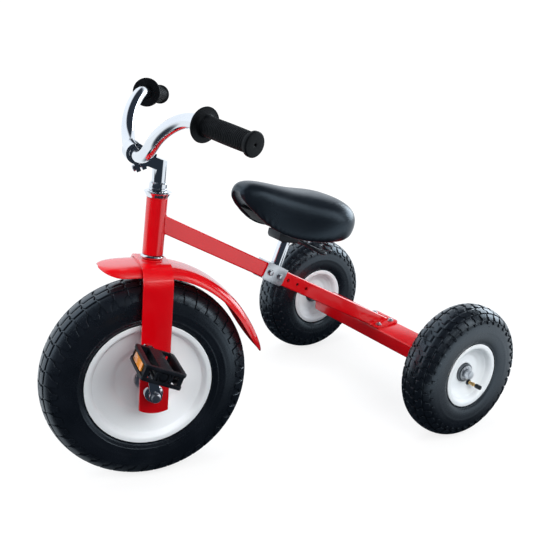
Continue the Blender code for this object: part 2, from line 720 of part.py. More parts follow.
def add_mudguard(steering):
    length = GUARD_RADIUS * (GUARD_REAR_ANGLE - GUARD_FRONT_ANGLE)
    across = (-1.0, -0.97, -0.86, -0.50, 0.0, 0.50, 0.86, 0.97, 1.0)
    depth = (1.0, 0.62, 0.24, 0.06, 0.0, 0.06, 0.24, 0.62, 1.0)

    def build(shape):
        rows = []
        for along in guard_stations(length):
            share = along / length
            angle = GUARD_FRONT_ANGLE + (GUARD_REAR_ANGLE - GUARD_FRONT_ANGLE) * share
            width = guard_width_at(along, length)
            fullness = (width / GUARD_HALF_WIDTH) ** 1.5
            rise = GUARD_RISE * (max(0.0, 0.22 - share) / 0.22) ** 2
            rise += GUARD_RISE * 0.7 * (max(0.0, share - 0.75) / 0.25) ** 2
            row = []
            for offset, skirt in zip(across, depth):
                radius = GUARD_RADIUS + rise - GUARD_SKIRT * skirt * fullness
                row.append(shape.verts.new((width * offset, radius * math.sin(angle), radius * math.cos(angle))))
            rows.append(row)
        for first, second in zip(rows, rows[1:]):
            for index in range(len(across) - 1):
                shape.faces.new((first[index], first[index + 1], second[index + 1], second[index]))
    guard = add_object("mudguard", mesh_from("mudguard", build), "red_paint", steering)
    wall = guard.modifiers.new("sheet", "SOLIDIFY")
    wall.thickness = GUARD_SHEET
    wall.offset = -1
    return shade(guard, 40)


def add_bearing_cup(steering, side, word):
    """A flanged cup on the outside of a blade, with a spigot that fills the blade's hole."""
    face = FORK_HALF_WIDTH + GAP
    rim = BEARING_CUP_RADIUS
    bore = AXLE_RADIUS + GAP
    profile = [
        (rim - 5.0 * MM, face + BEARING_CUP_LENGTH),
        (rim - 1.5 * MM, face + BEARING_CUP_LENGTH - 2.0 * MM),
        (rim, face + 4.0 * MM),
        (rim, face),
        (BEARING_SPIGOT_RADIUS, face),
        (BEARING_SPIGOT_RADIUS, FORK_HALF_WIDTH - STRAP_THICKNESS - 2.0 * MM),
        (bore, FORK_HALF_WIDTH - STRAP_THICKNESS - 2.0 * MM),
        (bore, face + BEARING_CUP_LENGTH),
    ]
    turn = outward(side)
    turned("bearing_cup_" + word, profile, "chrome", steering, (0, FORK_OFFSET, 0), turn)


def add_crank(axle, side, word):
    """A forged arm with an eye at both ends, a bolt on the axle and a spindle for the pedal."""
    lean = CRANK_LEAN if side == LEFT else CRANK_LEAN + math.pi
    hanger = add_empty("crank_frame_" + word, (0, 0, 0), (lean, 0, 0), axle)
    inner = CRANK_INNER
    middle = side * (inner + CRANK_THICKNESS / 2)
    end_radius = CRANK_EYE_RADIUS - 1.5 * MM
    eye_angle = math.degrees(math.acos(CRANK_ARM_HALF_WIDTH / CRANK_EYE_RADIUS))
    end_angle = math.degrees(math.acos(CRANK_ARM_HALF_WIDTH / end_radius))
    outline = arc((0, 0), CRANK_EYE_RADIUS, 180 - eye_angle, 360 + eye_angle, 8)
    outline += arc((0, CRANK_LENGTH), end_radius, -end_angle, 180 + end_angle, 8)
    crank = plate("crank_" + word, [outline, circle_points((0, 0), AXLE_RADIUS + GAP, 12),
                                    circle_points((0, CRANK_LENGTH), SPINDLE_RADIUS + GAP, 12)],
                  CRANK_THICKNESS, "chrome", hanger, (middle, 0, 0), (math.pi / 2, 0, math.pi / 2))
    add_bevel(crank, 1.5 * MM, 1, 60.0)
    bolt_at = side * (inner + CRANK_THICKNESS + GAP)
    turn = outward(side)
    bolt = [
        (0, CRANK_BOLT_HEIGHT),
        (CRANK_BOLT_RADIUS - 1.5 * MM, CRANK_BOLT_HEIGHT),
        (CRANK_BOLT_RADIUS, CRANK_BOLT_HEIGHT - 1.5 * MM),
        (CRANK_BOLT_RADIUS, 0),
        (0, 0),
    ]
    turned("crank_bolt_" + word, bolt, "zinc", hanger, (bolt_at, 0, 0), turn, closed=False)
    inner_end = inner + 1.0 * MM
    collar = inner + CRANK_THICKNESS + GAP
    pedal_start = inner + CRANK_THICKNESS + PEDAL_CLEARANCE
    end = pedal_start + PEDAL_WIDTH - 8.0 * MM
    spindle = [
        (0, end),
        (SPINDLE_RADIUS, end),
        (SPINDLE_RADIUS, pedal_start - 3.0 * MM),
        (SPINDLE_COLLAR_RADIUS, pedal_start - 3.0 * MM),
        (SPINDLE_COLLAR_RADIUS, collar),
        (SPINDLE_RADIUS, collar),
        (SPINDLE_RADIUS, inner_end),
        (0, inner_end),
    ]
    turned("pedal_spindle_" + word, spindle, "dark_steel", hanger, (0, 0, CRANK_LENGTH), turn, 16, closed=False)
    return hanger


def add_pedal(hanger, side, word):
    """A moulded cage: two plates on a barrel and end walls, with a reflector front and rear."""
    lean = CRANK_LEAN if side == LEFT else CRANK_LEAN + math.pi
    start = CRANK_INNER + CRANK_THICKNESS + PEDAL_CLEARANCE
    middle = side * (start + PEDAL_WIDTH / 2)
    level = PEDAL_PITCH - lean
    spin = add_empty("pedal_frame_" + word, (middle, 0, CRANK_LENGTH), (level, 0, 0), hanger)
    cage = box("pedal_" + word, (PEDAL_WIDTH, PEDAL_LENGTH, PEDAL_THICKNESS), "black_plastic", spin)
    window_length = (PEDAL_LENGTH - 2 * PEDAL_BARREL_RADIUS - 2 * PEDAL_RAIL) / 2
    window_at = PEDAL_BARREL_RADIUS + window_length / 2
    inside = PEDAL_WIDTH - 2 * PEDAL_END_WALL
    slot_height = PEDAL_THICKNESS - 2 * PEDAL_FLANGE
    for end in (1, -1):
        where = "front" if end < 0 else "rear"
        cut(cage, box("pedal_window_" + where + "_" + word, (inside, window_length, 2 * PEDAL_THICKNESS), None,
                      spin, (0, end * window_at, 0)))
        cut(cage, box("pedal_pocket_" + where + "_" + word,
                      (REFLECTOR_WIDTH + 2 * GAP, 2 * REFLECTOR_THICKNESS, REFLECTOR_HEIGHT + 2 * GAP), None,
                      spin, (0, end * PEDAL_LENGTH / 2, 0)))
        cut(cage, box("pedal_slot_" + where + "_" + word,
                      (2 * 9.0 * MM, window_length + 6.0 * MM, slot_height), None,
                      spin, (side * PEDAL_WIDTH / 2, end * (window_at + 3.0 * MM), 0)))
        glass = box("pedal_reflector_" + where + "_" + word,
                    (REFLECTOR_WIDTH, REFLECTOR_THICKNESS - 2 * GAP, REFLECTOR_HEIGHT), "amber_plastic",
                    spin, (0, end * (PEDAL_LENGTH / 2 - REFLECTOR_THICKNESS / 2), 0))
        add_bevel(glass, 0.6 * MM, 1)
    cut(cage, rod("pedal_bore_" + word, SPINDLE_RADIUS + GAP, 2 * (PEDAL_WIDTH - 5.0 * MM), None, spin,
                  (-side * PEDAL_WIDTH / 2, 0, 0), (0, math.pi / 2, 0), 16))
    return cage


# Headset, stem and handlebar

def add_headset(head, steering):
    bore = STEERER_RADIUS + GAP
    bottom = HEAD_TUBE_START
    lower = [
        (HEAD_TUBE_RADIUS, bottom - GAP),
        (LOWER_CUP_RADIUS, bottom - 2.5 * MM),
        (LOWER_CUP_RADIUS, bottom - 5.0 * MM),
        (LOWER_CUP_RADIUS - 4.0 * MM, bottom - LOWER_CUP_HEIGHT),
        (bore, bottom - LOWER_CUP_HEIGHT),
        (bore, bottom + 6.0 * MM),
        (HEAD_TUBE_BORE - GAP, bottom + 6.0 * MM),
        (HEAD_TUBE_BORE - GAP, bottom - GAP),
    ]
    turned("lower_headset_cup", lower, "chrome", head)
    top = HEAD_TUBE_START + HEAD_TUBE_LENGTH
    upper = [
        (LOCKNUT_RADIUS, UPPER_CUP_TOP),
        (UPPER_CUP_RADIUS - 1.5 * MM, UPPER_CUP_TOP - 1.2 * MM),
        (UPPER_CUP_RADIUS, UPPER_CUP_TOP - 2.6 * MM),
        (UPPER_CUP_RADIUS - 1.5 * MM, UPPER_CUP_TOP - 4.2 * MM),
        (HEAD_TUBE_RADIUS, top + 1.0 * MM),
        (HEAD_TUBE_RADIUS, top + GAP),
        (HEAD_TUBE_BORE - GAP, top + GAP),
        (HEAD_TUBE_BORE - GAP, top - 6.0 * MM),
        (bore, top - 6.0 * MM),
        (bore, UPPER_CUP_TOP),
    ]
    turned("upper_headset_cup", upper, "chrome", head)
    nut = UPPER_CUP_TOP + GAP
    ring = [
        (LOCKNUT_RADIUS - 1.5 * MM, nut + LOCKNUT_HEIGHT),
        (LOCKNUT_RADIUS, nut + LOCKNUT_HEIGHT - 1.5 * MM),
        (LOCKNUT_RADIUS + 0.8 * MM, nut),
        (bore, nut),
        (bore, nut + LOCKNUT_HEIGHT - 2.0 * MM),
        (STEM_RADIUS + GAP, nut + LOCKNUT_HEIGHT - 2.0 * MM),
        (STEM_RADIUS + GAP, nut + LOCKNUT_HEIGHT),
    ]
    turned("headset_locknut", ring, "chrome", steering)


def add_stem(stem):
    """Quill and forward arm in one forging, with a slit clamp round the bar."""
    foot = HEAD_TUBE_START + HEAD_TUBE_LENGTH - 40.0 * MM
    quill_length = STEM_TOP - foot
    quill = rod("stem", STEM_RADIUS - GAP, quill_length, "chrome", stem, (0, 0, foot + quill_length / 2))
    shoulder = UPPER_CUP_TOP + LOCKNUT_HEIGHT + 1.0 * MM
    sleeve = STEM_TOP - shoulder
    join(quill, rod("stem_sleeve", STEM_RADIUS + 0.6 * MM, sleeve, None, stem, (0, 0, shoulder + sleeve / 2)))
    eye = BAR_RADIUS + CLAMP_WALL
    arm = [
        (0, STEM_TOP + 1 * MM),
        (-STEM_REACH, BAR_HEIGHT + eye - 4.0 * MM),
        (-STEM_REACH, BAR_HEIGHT - eye + 3.0 * MM),
        (0, STEM_TOP - 23.0 * MM),
    ]
    join(quill, plate("stem_arm", [arm], 2 * STEM_RADIUS - 2.0 * MM, None, stem, (0, 0, 0),
                      (math.pi / 2, 0, math.pi / 2)))
    clamp = add_empty("clamp_axis", (0, -STEM_REACH, BAR_HEIGHT), (CLAMP_TURN, 0, 0), stem)
    join(quill, rod("stem_eye", eye, CLAMP_WIDTH, None, clamp, (0, 0, 0), (0, math.pi / 2, 0)))
    lug_height = 17.0 * MM
    join(quill, box("stem_lug", (22.0 * MM, 17.0 * MM, lug_height), None, clamp,
                    (0, 0, -eye - lug_height / 2 + 3.0 * MM)))
    cut(quill, rod("bar_bore", BAR_RADIUS + GAP, 2 * CLAMP_WIDTH, None, clamp, (0, 0, 0), (0, math.pi / 2, 0)))
    cut(quill, box("clamp_slit", (2 * CLAMP_WIDTH, CLAMP_SLIT, 30.0 * MM), None, clamp, (0, 0, -eye - 8.0 * MM)))
    bolt_drop = -eye - 8.0 * MM
    cut(quill, rod("clamp_bolt_hole", 3.3 * MM, 60 * MM, None, clamp, (0, 0, bolt_drop), (math.pi / 2, 0, 0), 12))
    spot_depth = 16.0 * MM
    cut(quill, rod("clamp_nut_seat", 6.4 * MM, spot_depth, None, clamp, (0, 8.5 * MM + spot_depth / 2, bolt_drop),
                   (math.pi / 2, 0, 0), 12))
    top_fall = Matrix.Rotation(-math.atan2(STEM_TOP_FALL, 2 * STEM_RADIUS), 4, "X")
    trim_at = Vector((0, 0, STEM_TOP - STEM_TOP_FALL / 2)) + top_fall @ Vector((0, 20 * MM, 10 * MM))
    cut(quill, box("stem_top_trim", (80 * MM, 60 * MM, 20 * MM), None, stem, trim_at, top_fall.to_euler()))
    half = 8.5 * MM
    head = half + GAP
    bolt = [
        (0, head + 4.0 * MM),
        (5.6 * MM, head + 4.0 * MM),
        (5.6 * MM, head),
        (3.0 * MM, head),
        (3.0 * MM, -head),
        (5.8 * MM, -head),
        (5.8 * MM, -head - 5.0 * MM),
        (0, -head - 5.0 * MM),
    ]
    turned("bar_clamp_bolt", bolt, "zinc", clamp, (0, 0, bolt_drop), (math.pi / 2, 0, 0), 12, closed=False)


def grip_direction():
    return Vector((math.cos(GRIP_DROP) * math.cos(GRIP_SWEEP), math.cos(GRIP_DROP) * math.sin(GRIP_SWEEP),
                   -math.sin(GRIP_DROP)))


def add_handlebar(stem):
    start = Vector(GRIP_START)
    along = grip_direction()
    bends = [Vector(point) for point in BAR_BENDS]
    bends += [start, start + along * 40 * MM, start + along * (GRIP_LENGTH - 5.0 * MM)]
    points = [Vector((-p.x, p.y, p.z)) for p in reversed(bends)] + bends
    pipe("handlebar", points, BAR_RADIUS, "chrome", stem, (0, -STEM_REACH, BAR_HEIGHT), (0, 0, 0), "NURBS", 2, 2)
    for side, word in SIDES:
        place = Vector((side * start.x, start.y - STEM_REACH, start.z + BAR_HEIGHT))
        heading = Vector((side * along.x, along.y, along.z))
        add_grip(stem, word, place, heading)


def add_grip(stem, word, place, heading):
    bore = BAR_RADIUS + GAP
    flange = GRIP_FLANGE_RADIUS
    profile = [
        (2.0 * MM, GRIP_LENGTH),
        (GRIP_END_RADIUS - 2.0 * MM, GRIP_LENGTH),
        (GRIP_END_RADIUS, GRIP_LENGTH - 2.0 * MM),
        (GRIP_END_RADIUS, GRIP_LENGTH - GRIP_END_THICKNESS),
        (GRIP_RADIUS, GRIP_LENGTH - GRIP_END_THICKNESS - 1.5 * MM),
        (GRIP_RADIUS, GRIP_FLANGE_THICKNESS + 2.0 * MM),
        (GRIP_RADIUS + 2.0 * MM, GRIP_FLANGE_THICKNESS),
        (flange - 1.0 * MM, GRIP_FLANGE_THICKNESS),
        (flange, GRIP_FLANGE_THICKNESS / 2),
        (flange - 1.0 * MM, 0),
        (bore, 0),
        (bore, GRIP_LENGTH - 4.0 * MM),
        (2.0 * MM, GRIP_LENGTH - 4.0 * MM),
    ]
    grip = turned("grip_" + word, profile, "grip_rubber", stem, place)
    grip.rotation_euler = heading.to_track_quat("Z", "Y").to_euler()


# Frame

def tube_point(along):
    """A point on the main tube's centre line, measured up it from the rear axle."""
    return Vector((0, WHEELBASE - along * math.cos(TUBE_SLOPE),
                   TUBE_HEIGHT_AT_AXLE + along * math.sin(TUBE_SLOPE)))


def add_main_tube(head):
    """Square tube, fitted round the head tube and cut level where it stands on the flange."""
    tail = 2 * TUBE_SIZE
    length = tail + TUBE_LENGTH + TUBE_SIZE
    inside = TUBE_SIZE - 2 * TUBE_WALL
    middle = tube_point(length / 2 - tail)
    turn = (-TUBE_SLOPE, 0, 0)
    tube = box("main_tube", (TUBE_SIZE, length, TUBE_SIZE), "red_paint", None, middle, turn)
    cut(tube, box("main_tube_bore", (inside, 1.2 * length, inside), None, None, middle, turn))
    cut(tube, rod("main_tube_cope", HEAD_TUBE_RADIUS + GAP, 2 * HEAD_TUBE_LENGTH, None, head,
                  (0, 0, HEAD_TUBE_START + HEAD_TUBE_LENGTH / 2)))
    ahead = 4 * TUBE_SIZE
    cut(tube, box("main_tube_front", (2 * TUBE_SIZE, ahead, 8 * TUBE_SIZE), None, head,
                  (0, -ahead / 2, HEAD_TUBE_START + HEAD_TUBE_LENGTH / 2)))
    below = 4 * TUBE_SIZE
    cut(tube, box("main_tube_foot", (2 * TUBE_SIZE, 8 * TUBE_SIZE, below), None, None,
                  (0, WHEELBASE, FLANGE_TOP + GAP - below / 2)))
    for index in range(SEAT_HOLE_COUNT):
        place = tube_point(SEAT_FIRST_HOLE - index * SEAT_HOLE_PITCH)
        cut(tube, rod("seat_hole_%d" % (index + 1), SEAT_HOLE_RADIUS, 2 * TUBE_SIZE, None, None, place,
                      (0, math.pi / 2, 0), HOLE_STEPS))
    return tube


def add_head_tube(head):
    top = HEAD_TUBE_START + HEAD_TUBE_LENGTH
    profile = [
        (HEAD_TUBE_RADIUS, top),
        (HEAD_TUBE_RADIUS, HEAD_TUBE_START),
        (HEAD_TUBE_BORE, HEAD_TUBE_START),
        (HEAD_TUBE_BORE, top),
    ]
    turned("head_tube", profile, "red_paint", head)


def add_rear_beam():
    """Box beam with closed ends, the flange of the main tube bolted on its top, and the axle."""
    centre = (0, WHEELBASE, REAR_AXLE_HEIGHT)
    beam = box("axle_beam", (BEAM_LENGTH, BEAM_DEPTH, BEAM_HEIGHT), "red_paint", None, centre)
    cut(beam, box("beam_bore", (BEAM_LENGTH - 6.0 * MM, BEAM_DEPTH - 2 * BEAM_WALL, BEAM_HEIGHT - 2 * BEAM_WALL),
                  None, None, centre))
    cut(beam, rod("beam_axle_hole", REAR_AXLE_RADIUS + GAP, 2 * BEAM_LENGTH, None, None, centre,
                  (0, math.pi / 2, 0)))
    holes = []
    for side, word in SIDES:
        for end, where in ((-1, "front"), (1, "rear")):
            x = side * FLANGE_BOLT_X
            y = end * FLANGE_BOLT_Y
            holes.append(circle_points((x, y), FLANGE_BOLT_RADIUS + GAP, HOLE_STEPS))
            place = (x, WHEELBASE + y, BEAM_TOP)
            cut(beam, rod("beam_hole_" + where + "_" + word, FLANGE_BOLT_RADIUS + GAP, 20 * MM, None, None, place,
                          (0, 0, 0), HOLE_STEPS))
            add_flange_bolt("flange_bolt_" + where + "_" + word, place)
    outline = round_rectangle(FLANGE_WIDTH, FLANGE_DEPTH, FLANGE_CORNER)
    plate("axle_flange", [outline] + holes, FLANGE_THICKNESS, "red_paint", None,
          (0, WHEELBASE, FLANGE_TOP - FLANGE_THICKNESS / 2))


def add_flange_bolt(name, place):
    seat = GAP + FLANGE_THICKNESS + GAP
    profile = [
        (0, seat + 4.5 * MM),
        (3.4 * MM, seat + 4.2 * MM),
        (5.6 * MM, seat + 2.4 * MM),
        (6.2 * MM, seat),
        (FLANGE_BOLT_RADIUS, seat),
        (FLANGE_BOLT_RADIUS, -9.0 * MM),
        (0, -9.0 * MM),
    ]
    turned(name, profile, "zinc", None, place, (0, 0, 0), HOLE_STEPS, closed=False)


def add_rear_axle():
    half = REAR_TRACK / 2 + REAR_HUB_OUTER + REAR_AXLE_END
    axle = rod("rear_axle", REAR_AXLE_RADIUS, 2 * half, "zinc", None, (0, WHEELBASE, REAR_AXLE_HEIGHT),
               (0, math.pi / 2, 0))
    washer_at = REAR_TRACK / 2 + REAR_HUB_OUTER + GAP
    pin_at = washer_at + 2.0 * MM + 2 * GAP + COTTER_WIRE
    for side, word in SIDES:
        cut(axle, rod("cotter_hole_" + word, COTTER_WIRE + GAP, 30 * MM, None, None,
                      (side * pin_at, WHEELBASE, REAR_AXLE_HEIGHT), (0, 0, 0), 12))
        profile = [
            (REAR_HUB_RADIUS - 3.0 * MM, washer_at + 2.0 * MM),
            (REAR_HUB_RADIUS - 3.0 * MM, washer_at),
            (REAR_AXLE_RADIUS + GAP, washer_at),
            (REAR_AXLE_RADIUS + GAP, washer_at + 2.0 * MM),
        ]
        turn = outward(side)
        turned("axle_washer_" + word, profile, "zinc", None, (0, WHEELBASE, REAR_AXLE_HEIGHT), turn)
        add_cotter_pin(side, word, pin_at)


def add_cotter_pin(side, word, pin_at):
    """A split pin through the axle's end: a round eye above and bent legs below."""
    reach = REAR_AXLE_RADIUS
    eye = arc((0, reach + 4.2 * MM), 2.6 * MM, -60, 240, 8)
    points = [(0, 0, -reach - 5.0 * MM), (0, 0, reach + 1.0 * MM)]
    points += [(0, y, z) for y, z in eye]
    pipe("cotter_pin_" + word, points, COTTER_WIRE, "zinc", None, (side * pin_at, WHEELBASE, REAR_AXLE_HEIGHT),
         (0, 0, 0), "POLY", 1)


# Seat

def add_seat_bracket():
    """A folded channel that sits over the main tube, held by two bolts through its holes."""
    middle = tube_point(SEAT_FIRST_HOLE - SEAT_HOLE_PITCH / 2)
    up = Vector((0, math.sin(TUBE_SLOPE), math.cos(TUBE_SLOPE)))
    inside = TUBE_SIZE + 2 * GAP
    outside = inside + 2 * BRACKET_WALL
    top = TUBE_SIZE / 2 + GAP + BRACKET_WALL
    low = top - BRACKET_DROP
    half_length = BRACKET_LENGTH / 2
    radius = BRACKET_CORNER
    cheek = [(half_length, top), (-half_length, top)]
    cheek += arc((-half_length + radius, low + radius), radius, 180, 270, 3)
    cheek += arc((half_length - radius, low + radius), radius, 270, 360, 3)
    tube_frame = add_empty("seat_bracket_frame", middle, (-TUBE_SLOPE, 0, 0))
    bracket = plate("seat_bracket", [cheek], outside, "zinc", tube_frame, (0, 0, 0), (math.pi / 2, 0, math.pi / 2))
    add_bevel(bracket, 0.8 * MM, 1, 60.0)
    cut(bracket, box("bracket_channel", (inside, 2 * BRACKET_LENGTH, BRACKET_DROP), None, tube_frame,
                     (0, 0, top - BRACKET_WALL - BRACKET_DROP / 2)))
    for index in range(2):
        place = tube_point(SEAT_FIRST_HOLE - index * SEAT_HOLE_PITCH)
        word = "front" if index == 0 else "rear"
        cut(bracket, rod("bracket_hole_" + word, SEAT_HOLE_RADIUS, 3 * TUBE_SIZE, None, None, place,
                         (0, math.pi / 2, 0), 12))
        half = outside / 2 + GAP
        profile = [
            (0, half + 4.5 * MM),
            (4.6 * MM, half + 4.5 * MM),
            (5.4 * MM, half + 3.5 * MM),
            (5.4 * MM, half),
            (SEAT_BOLT_RADIUS - GAP, half),
            (SEAT_BOLT_RADIUS - GAP, -half),
            (5.6 * MM, -half),
            (5.6 * MM, -half - 5.0 * MM),
            (SEAT_BOLT_RADIUS - GAP, -half - 5.0 * MM),
            (SEAT_BOLT_RADIUS - GAP, -half - 9.0 * MM),
            (0, -half - 9.0 * MM),
        ]
        turned("seat_bolt_" + word, profile, "zinc", None, place, axis_x(), 12, closed=False)
    return middle + up * (top + GAP)


def add_saddle(foot):
    post_up = Vector((0, math.sin(POST_LEAN), math.cos(POST_LEAN)))
    along = Vector((0, math.cos(TUBE_SLOPE), -math.sin(TUBE_SLOPE)))
    post_foot = foot + along * POST_SET_BACK
    profile = [
        (POST_RADIUS - 0.5 * MM, POST_LENGTH),
        (POST_RADIUS, POST_LENGTH - 1.0 * MM),
        (POST_RADIUS, 0),
        (POST_RADIUS - 2.0 * MM, 0),
        (POST_RADIUS - 2.0 * MM, POST_LENGTH),
    ]
    post = turned("seat_post", profile, "chrome", None, post_foot - post_up * POST_TRIM, (-POST_LEAN, 0, 0))
    lean = (-TUBE_SLOPE, 0, 0)
    up = Vector((0, math.sin(TUBE_SLOPE), math.cos(TUBE_SLOPE)))
    cut(post, box("post_foot_trim", (60 * MM, 80 * MM, 40 * MM), None, None, foot - up * 20 * MM, lean))
    forward = Vector((0, -math.cos(POST_LEAN), math.sin(POST_LEAN)))
    reference = post_foot + post_up * (POST_LENGTH - POST_TRIM + SADDLE_ABOVE_POST) + forward * SADDLE_FORWARD
    seat = add_empty("saddle_frame_origin", reference, (-SADDLE_TILT, 0, 0))
    add_cushion(seat)
    add_pan(seat)
    add_seat_clamp(seat, post_foot, post_up)
    add_saddle_springs(seat)


def add_cushion(seat):
    """Padded saddle: a crowned top, sides drawn in to the lower edge, hollow underneath."""
    def build(shape):
        rows = []
        for station, half, top, bottom in SADDLE_STATIONS:
            rise = top - bottom
            section = (
                (0.0, top),
                (0.42 * half, top - 0.01 * rise),
                (0.80 * half, top - 0.12 * rise),
                (1.02 * half, top - 0.42 * rise),
                (1.02 * half, bottom + 0.20 * rise),
                (0.93 * half, bottom),
                (0.80 * half, bottom + 1.0 * MM),
                (0.70 * half, bottom + SADDLE_RECESS),
                (0.0, bottom + SADDLE_RECESS),
            )
            rows.append([shape.verts.new((x, station, z)) for x, z in section])
        for first, second in zip(rows, rows[1:]):
            for index in range(len(first) - 1):
                shape.faces.new((first[index], second[index], second[index + 1], first[index + 1]))
        for row, flip in ((rows[0], False), (rows[-1], True)):
            shape.faces.new(row if not flip else list(reversed(row)))
        bmesh.ops.recalc_face_normals(shape, faces=shape.faces)
    cushion = add_object("saddle", mesh_from("saddle", build), "saddle_vinyl", seat)
    mirror = cushion.modifiers.new("other half", "MIRROR")
    mirror.use_axis[0] = True
    mirror.merge_threshold = 0.0001
    smooth = cushion.modifiers.new("padding", "SUBSURF")
    smooth.levels = 1
    smooth.render_levels = 1
    cushion.data.shade_smooth()
    return cushion


def pan_underside(station):
    """Height of the pan's lower face over the saddle's middle, at a place along it."""
    for first, last in zip(SADDLE_STATIONS, SADDLE_STATIONS[1:]):
        if first[0] <= station <= last[0]:
            share = (station - first[0]) / (last[0] - first[0])
            bottom = first[3] + (last[3] - first[3]) * share
            return bottom + SADDLE_RECESS - PAN_GAP - PAN_THICKNESS
    return SADDLE_RECESS


def add_pan(seat):
    """Stiff pan inside the hollow of the cushion, which carries the clamp and the springs."""
    def build(shape):
        rows = []
        for station, half, top, bottom in SADDLE_STATIONS[2:-1]:
            level = bottom + SADDLE_RECESS - PAN_GAP
            rows.append([shape.verts.new((x * half, station, level)) for x in (-0.6, -0.2, 0.2, 0.6)])
        for first, second in zip(rows, rows[1:]):
            for index in range(len(first) - 1):
                shape.faces.new((first[index], first[index + 1], second[index + 1], second[index]))
    pan = add_object("saddle_pan", mesh_from("saddle_pan", build), "black_plastic", seat)
    wall = pan.modifiers.new("sheet", "SOLIDIFY")
    wall.thickness = PAN_THICKNESS
    wall.offset = -1
    return pan


def add_seat_clamp(seat, post_foot, post_up):
    top = min(pan_underside(row[0]) for row in SADDLE_STATIONS[2:-1]) - GAP
    low = top - SEAT_CLAMP_HEIGHT
    rear = SEAT_CLAMP_REAR
    front = -SEAT_CLAMP_FRONT
    radius = SEAT_CLAMP_RADIUS
    outline = arc((front + radius, low + radius), radius, 180, 270, 4)
    outline += arc((rear - radius / 2, low + radius / 2), radius / 2, 270, 360, 3)
    outline += [(rear, top), (front, top)]
    clamp = plate("saddle_clamp", [outline], SEAT_CLAMP_WIDTH, "black_plastic", seat, (0, 0, 0),
                  (math.pi / 2, 0, math.pi / 2))
    long = 2 * POST_LENGTH
    cut(clamp, rod("clamp_post_bore", POST_RADIUS + GAP, long, None, None, post_foot + post_up * long / 2,
                   (-POST_LEAN, 0, 0)))
    return clamp


def add_saddle_springs(seat):
    """Two coil springs between the pan and the loop of wire that the clamp carries."""
    wire_at = -FRAME_WIRE_DROP
    foot = wire_at + FRAME_WIRE + GAP + SPRING_WIRE
    height = pan_underside(SPRING_BACK - SPRING_RADIUS) - GAP - SPRING_WIRE - foot
    count = 9
    total = int(SPRING_TURNS * count)
    closest = height / SPRING_TURNS - 2 * SPRING_WIRE
    print("least gap between two curls of a saddle spring: %.2f mm" % (closest / MM))
    for side, word in SIDES:
        points = []
        for step in range(total + 1):
            angle = 2 * math.pi * step / count
            points.append((-side * SPRING_RADIUS * math.cos(angle), SPRING_RADIUS * math.sin(angle),
                           height * step / total))
        pipe("saddle_spring_" + word, points, SPRING_WIRE, "dark_steel", seat,
             (side * SPRING_SPREAD, SPRING_BACK, foot), (0, 0, 0), "POLY", 1)
    start = SEAT_CLAMP_REAR + GAP
    half = SPRING_SPREAD + 4.0 * MM
    points = [
        (14.0 * MM, start, -1.0 * MM),
        (14.0 * MM, start + 5.0 * MM, -1.0 * MM),
        (17.0 * MM, start + 14.0 * MM, -4.0 * MM),
        (half - 2.0 * MM, SPRING_BACK - 9.0 * MM, wire_at),
        (half, SPRING_BACK - 3.0 * MM, wire_at),
        (half - 4.0 * MM, SPRING_BACK + 1.0 * MM, wire_at),
    ]
    points += [(-x, y, z) for x, y, z in reversed(points)]
    pipe("saddle_frame", points, FRAME_WIRE, "dark_steel", seat, (0, 0, 0), (0, 0, 0), "POLY", 2)


# Derived places
FRONT_AXLE_HEIGHT = FRONT_TYRE_RADIUS - CONTACT_FLAT
REAR_AXLE_HEIGHT = REAR_TYRE_RADIUS - CONTACT_FLAT
BEAM_TOP = REAR_AXLE_HEIGHT + BEAM_HEIGHT / 2
FLANGE_TOP = BEAM_TOP + GAP + FLANGE_THICKNESS
FRONT_HUB_LENGTH = 2 * (FORK_HALF_WIDTH - STRAP_THICKNESS - HUB_CLEARANCE)
CRANK_INNER = FORK_HALF_WIDTH + GAP + BEARING_CUP_LENGTH + GAP

# Heights up the steering axis, from the wheel centre
FORK_CROWN_HEIGHT = FRONT_TYRE_RADIUS + CROWN_CLEARANCE
GUARD_RADIUS = FORK_CROWN_HEIGHT - STRAP_THICKNESS - GUARD_CLEARANCE
HEAD_TUBE_START = FORK_CROWN_HEIGHT + CROWN_SEAT + LOWER_CUP_HEIGHT
UPPER_CUP_TOP = HEAD_TUBE_START + HEAD_TUBE_LENGTH + UPPER_CUP_HEIGHT
STEM_TOP = UPPER_CUP_TOP + LOCKNUT_HEIGHT + STEM_RISE
BAR_HEIGHT = STEM_TOP + BAR_RISE
TUBE_JOINT = HEAD_TUBE_START + HEAD_TUBE_LENGTH / 2 + TUBE_JOINT_RISE

# Main tube, from over the rear axle up to the steering axis
AXIS_BACK = -FORK_OFFSET * math.cos(STEER_ANGLE) * math.cos(HEAD_TILT)
AXIS_UP = FRONT_AXLE_HEIGHT + FORK_OFFSET * math.cos(STEER_ANGLE) * math.sin(HEAD_TILT)
TUBE_HEIGHT_AT_AXLE = FLANGE_TOP - TUBE_FOOT_SINK
TUBE_RUN = WHEELBASE - AXIS_BACK - TUBE_JOINT * math.sin(HEAD_TILT)
TUBE_CLIMB = AXIS_UP + TUBE_JOINT * math.cos(HEAD_TILT) - TUBE_HEIGHT_AT_AXLE
TUBE_SLOPE = math.atan2(TUBE_CLIMB, TUBE_RUN)
TUBE_LENGTH = math.hypot(TUBE_RUN, TUBE_CLIMB)

clear_scene()
PARTS = new_collection("tricycle")
CUTTERS = new_collection("cutters")
CUTTERS.hide_render = True
MATERIALS = make_materials()


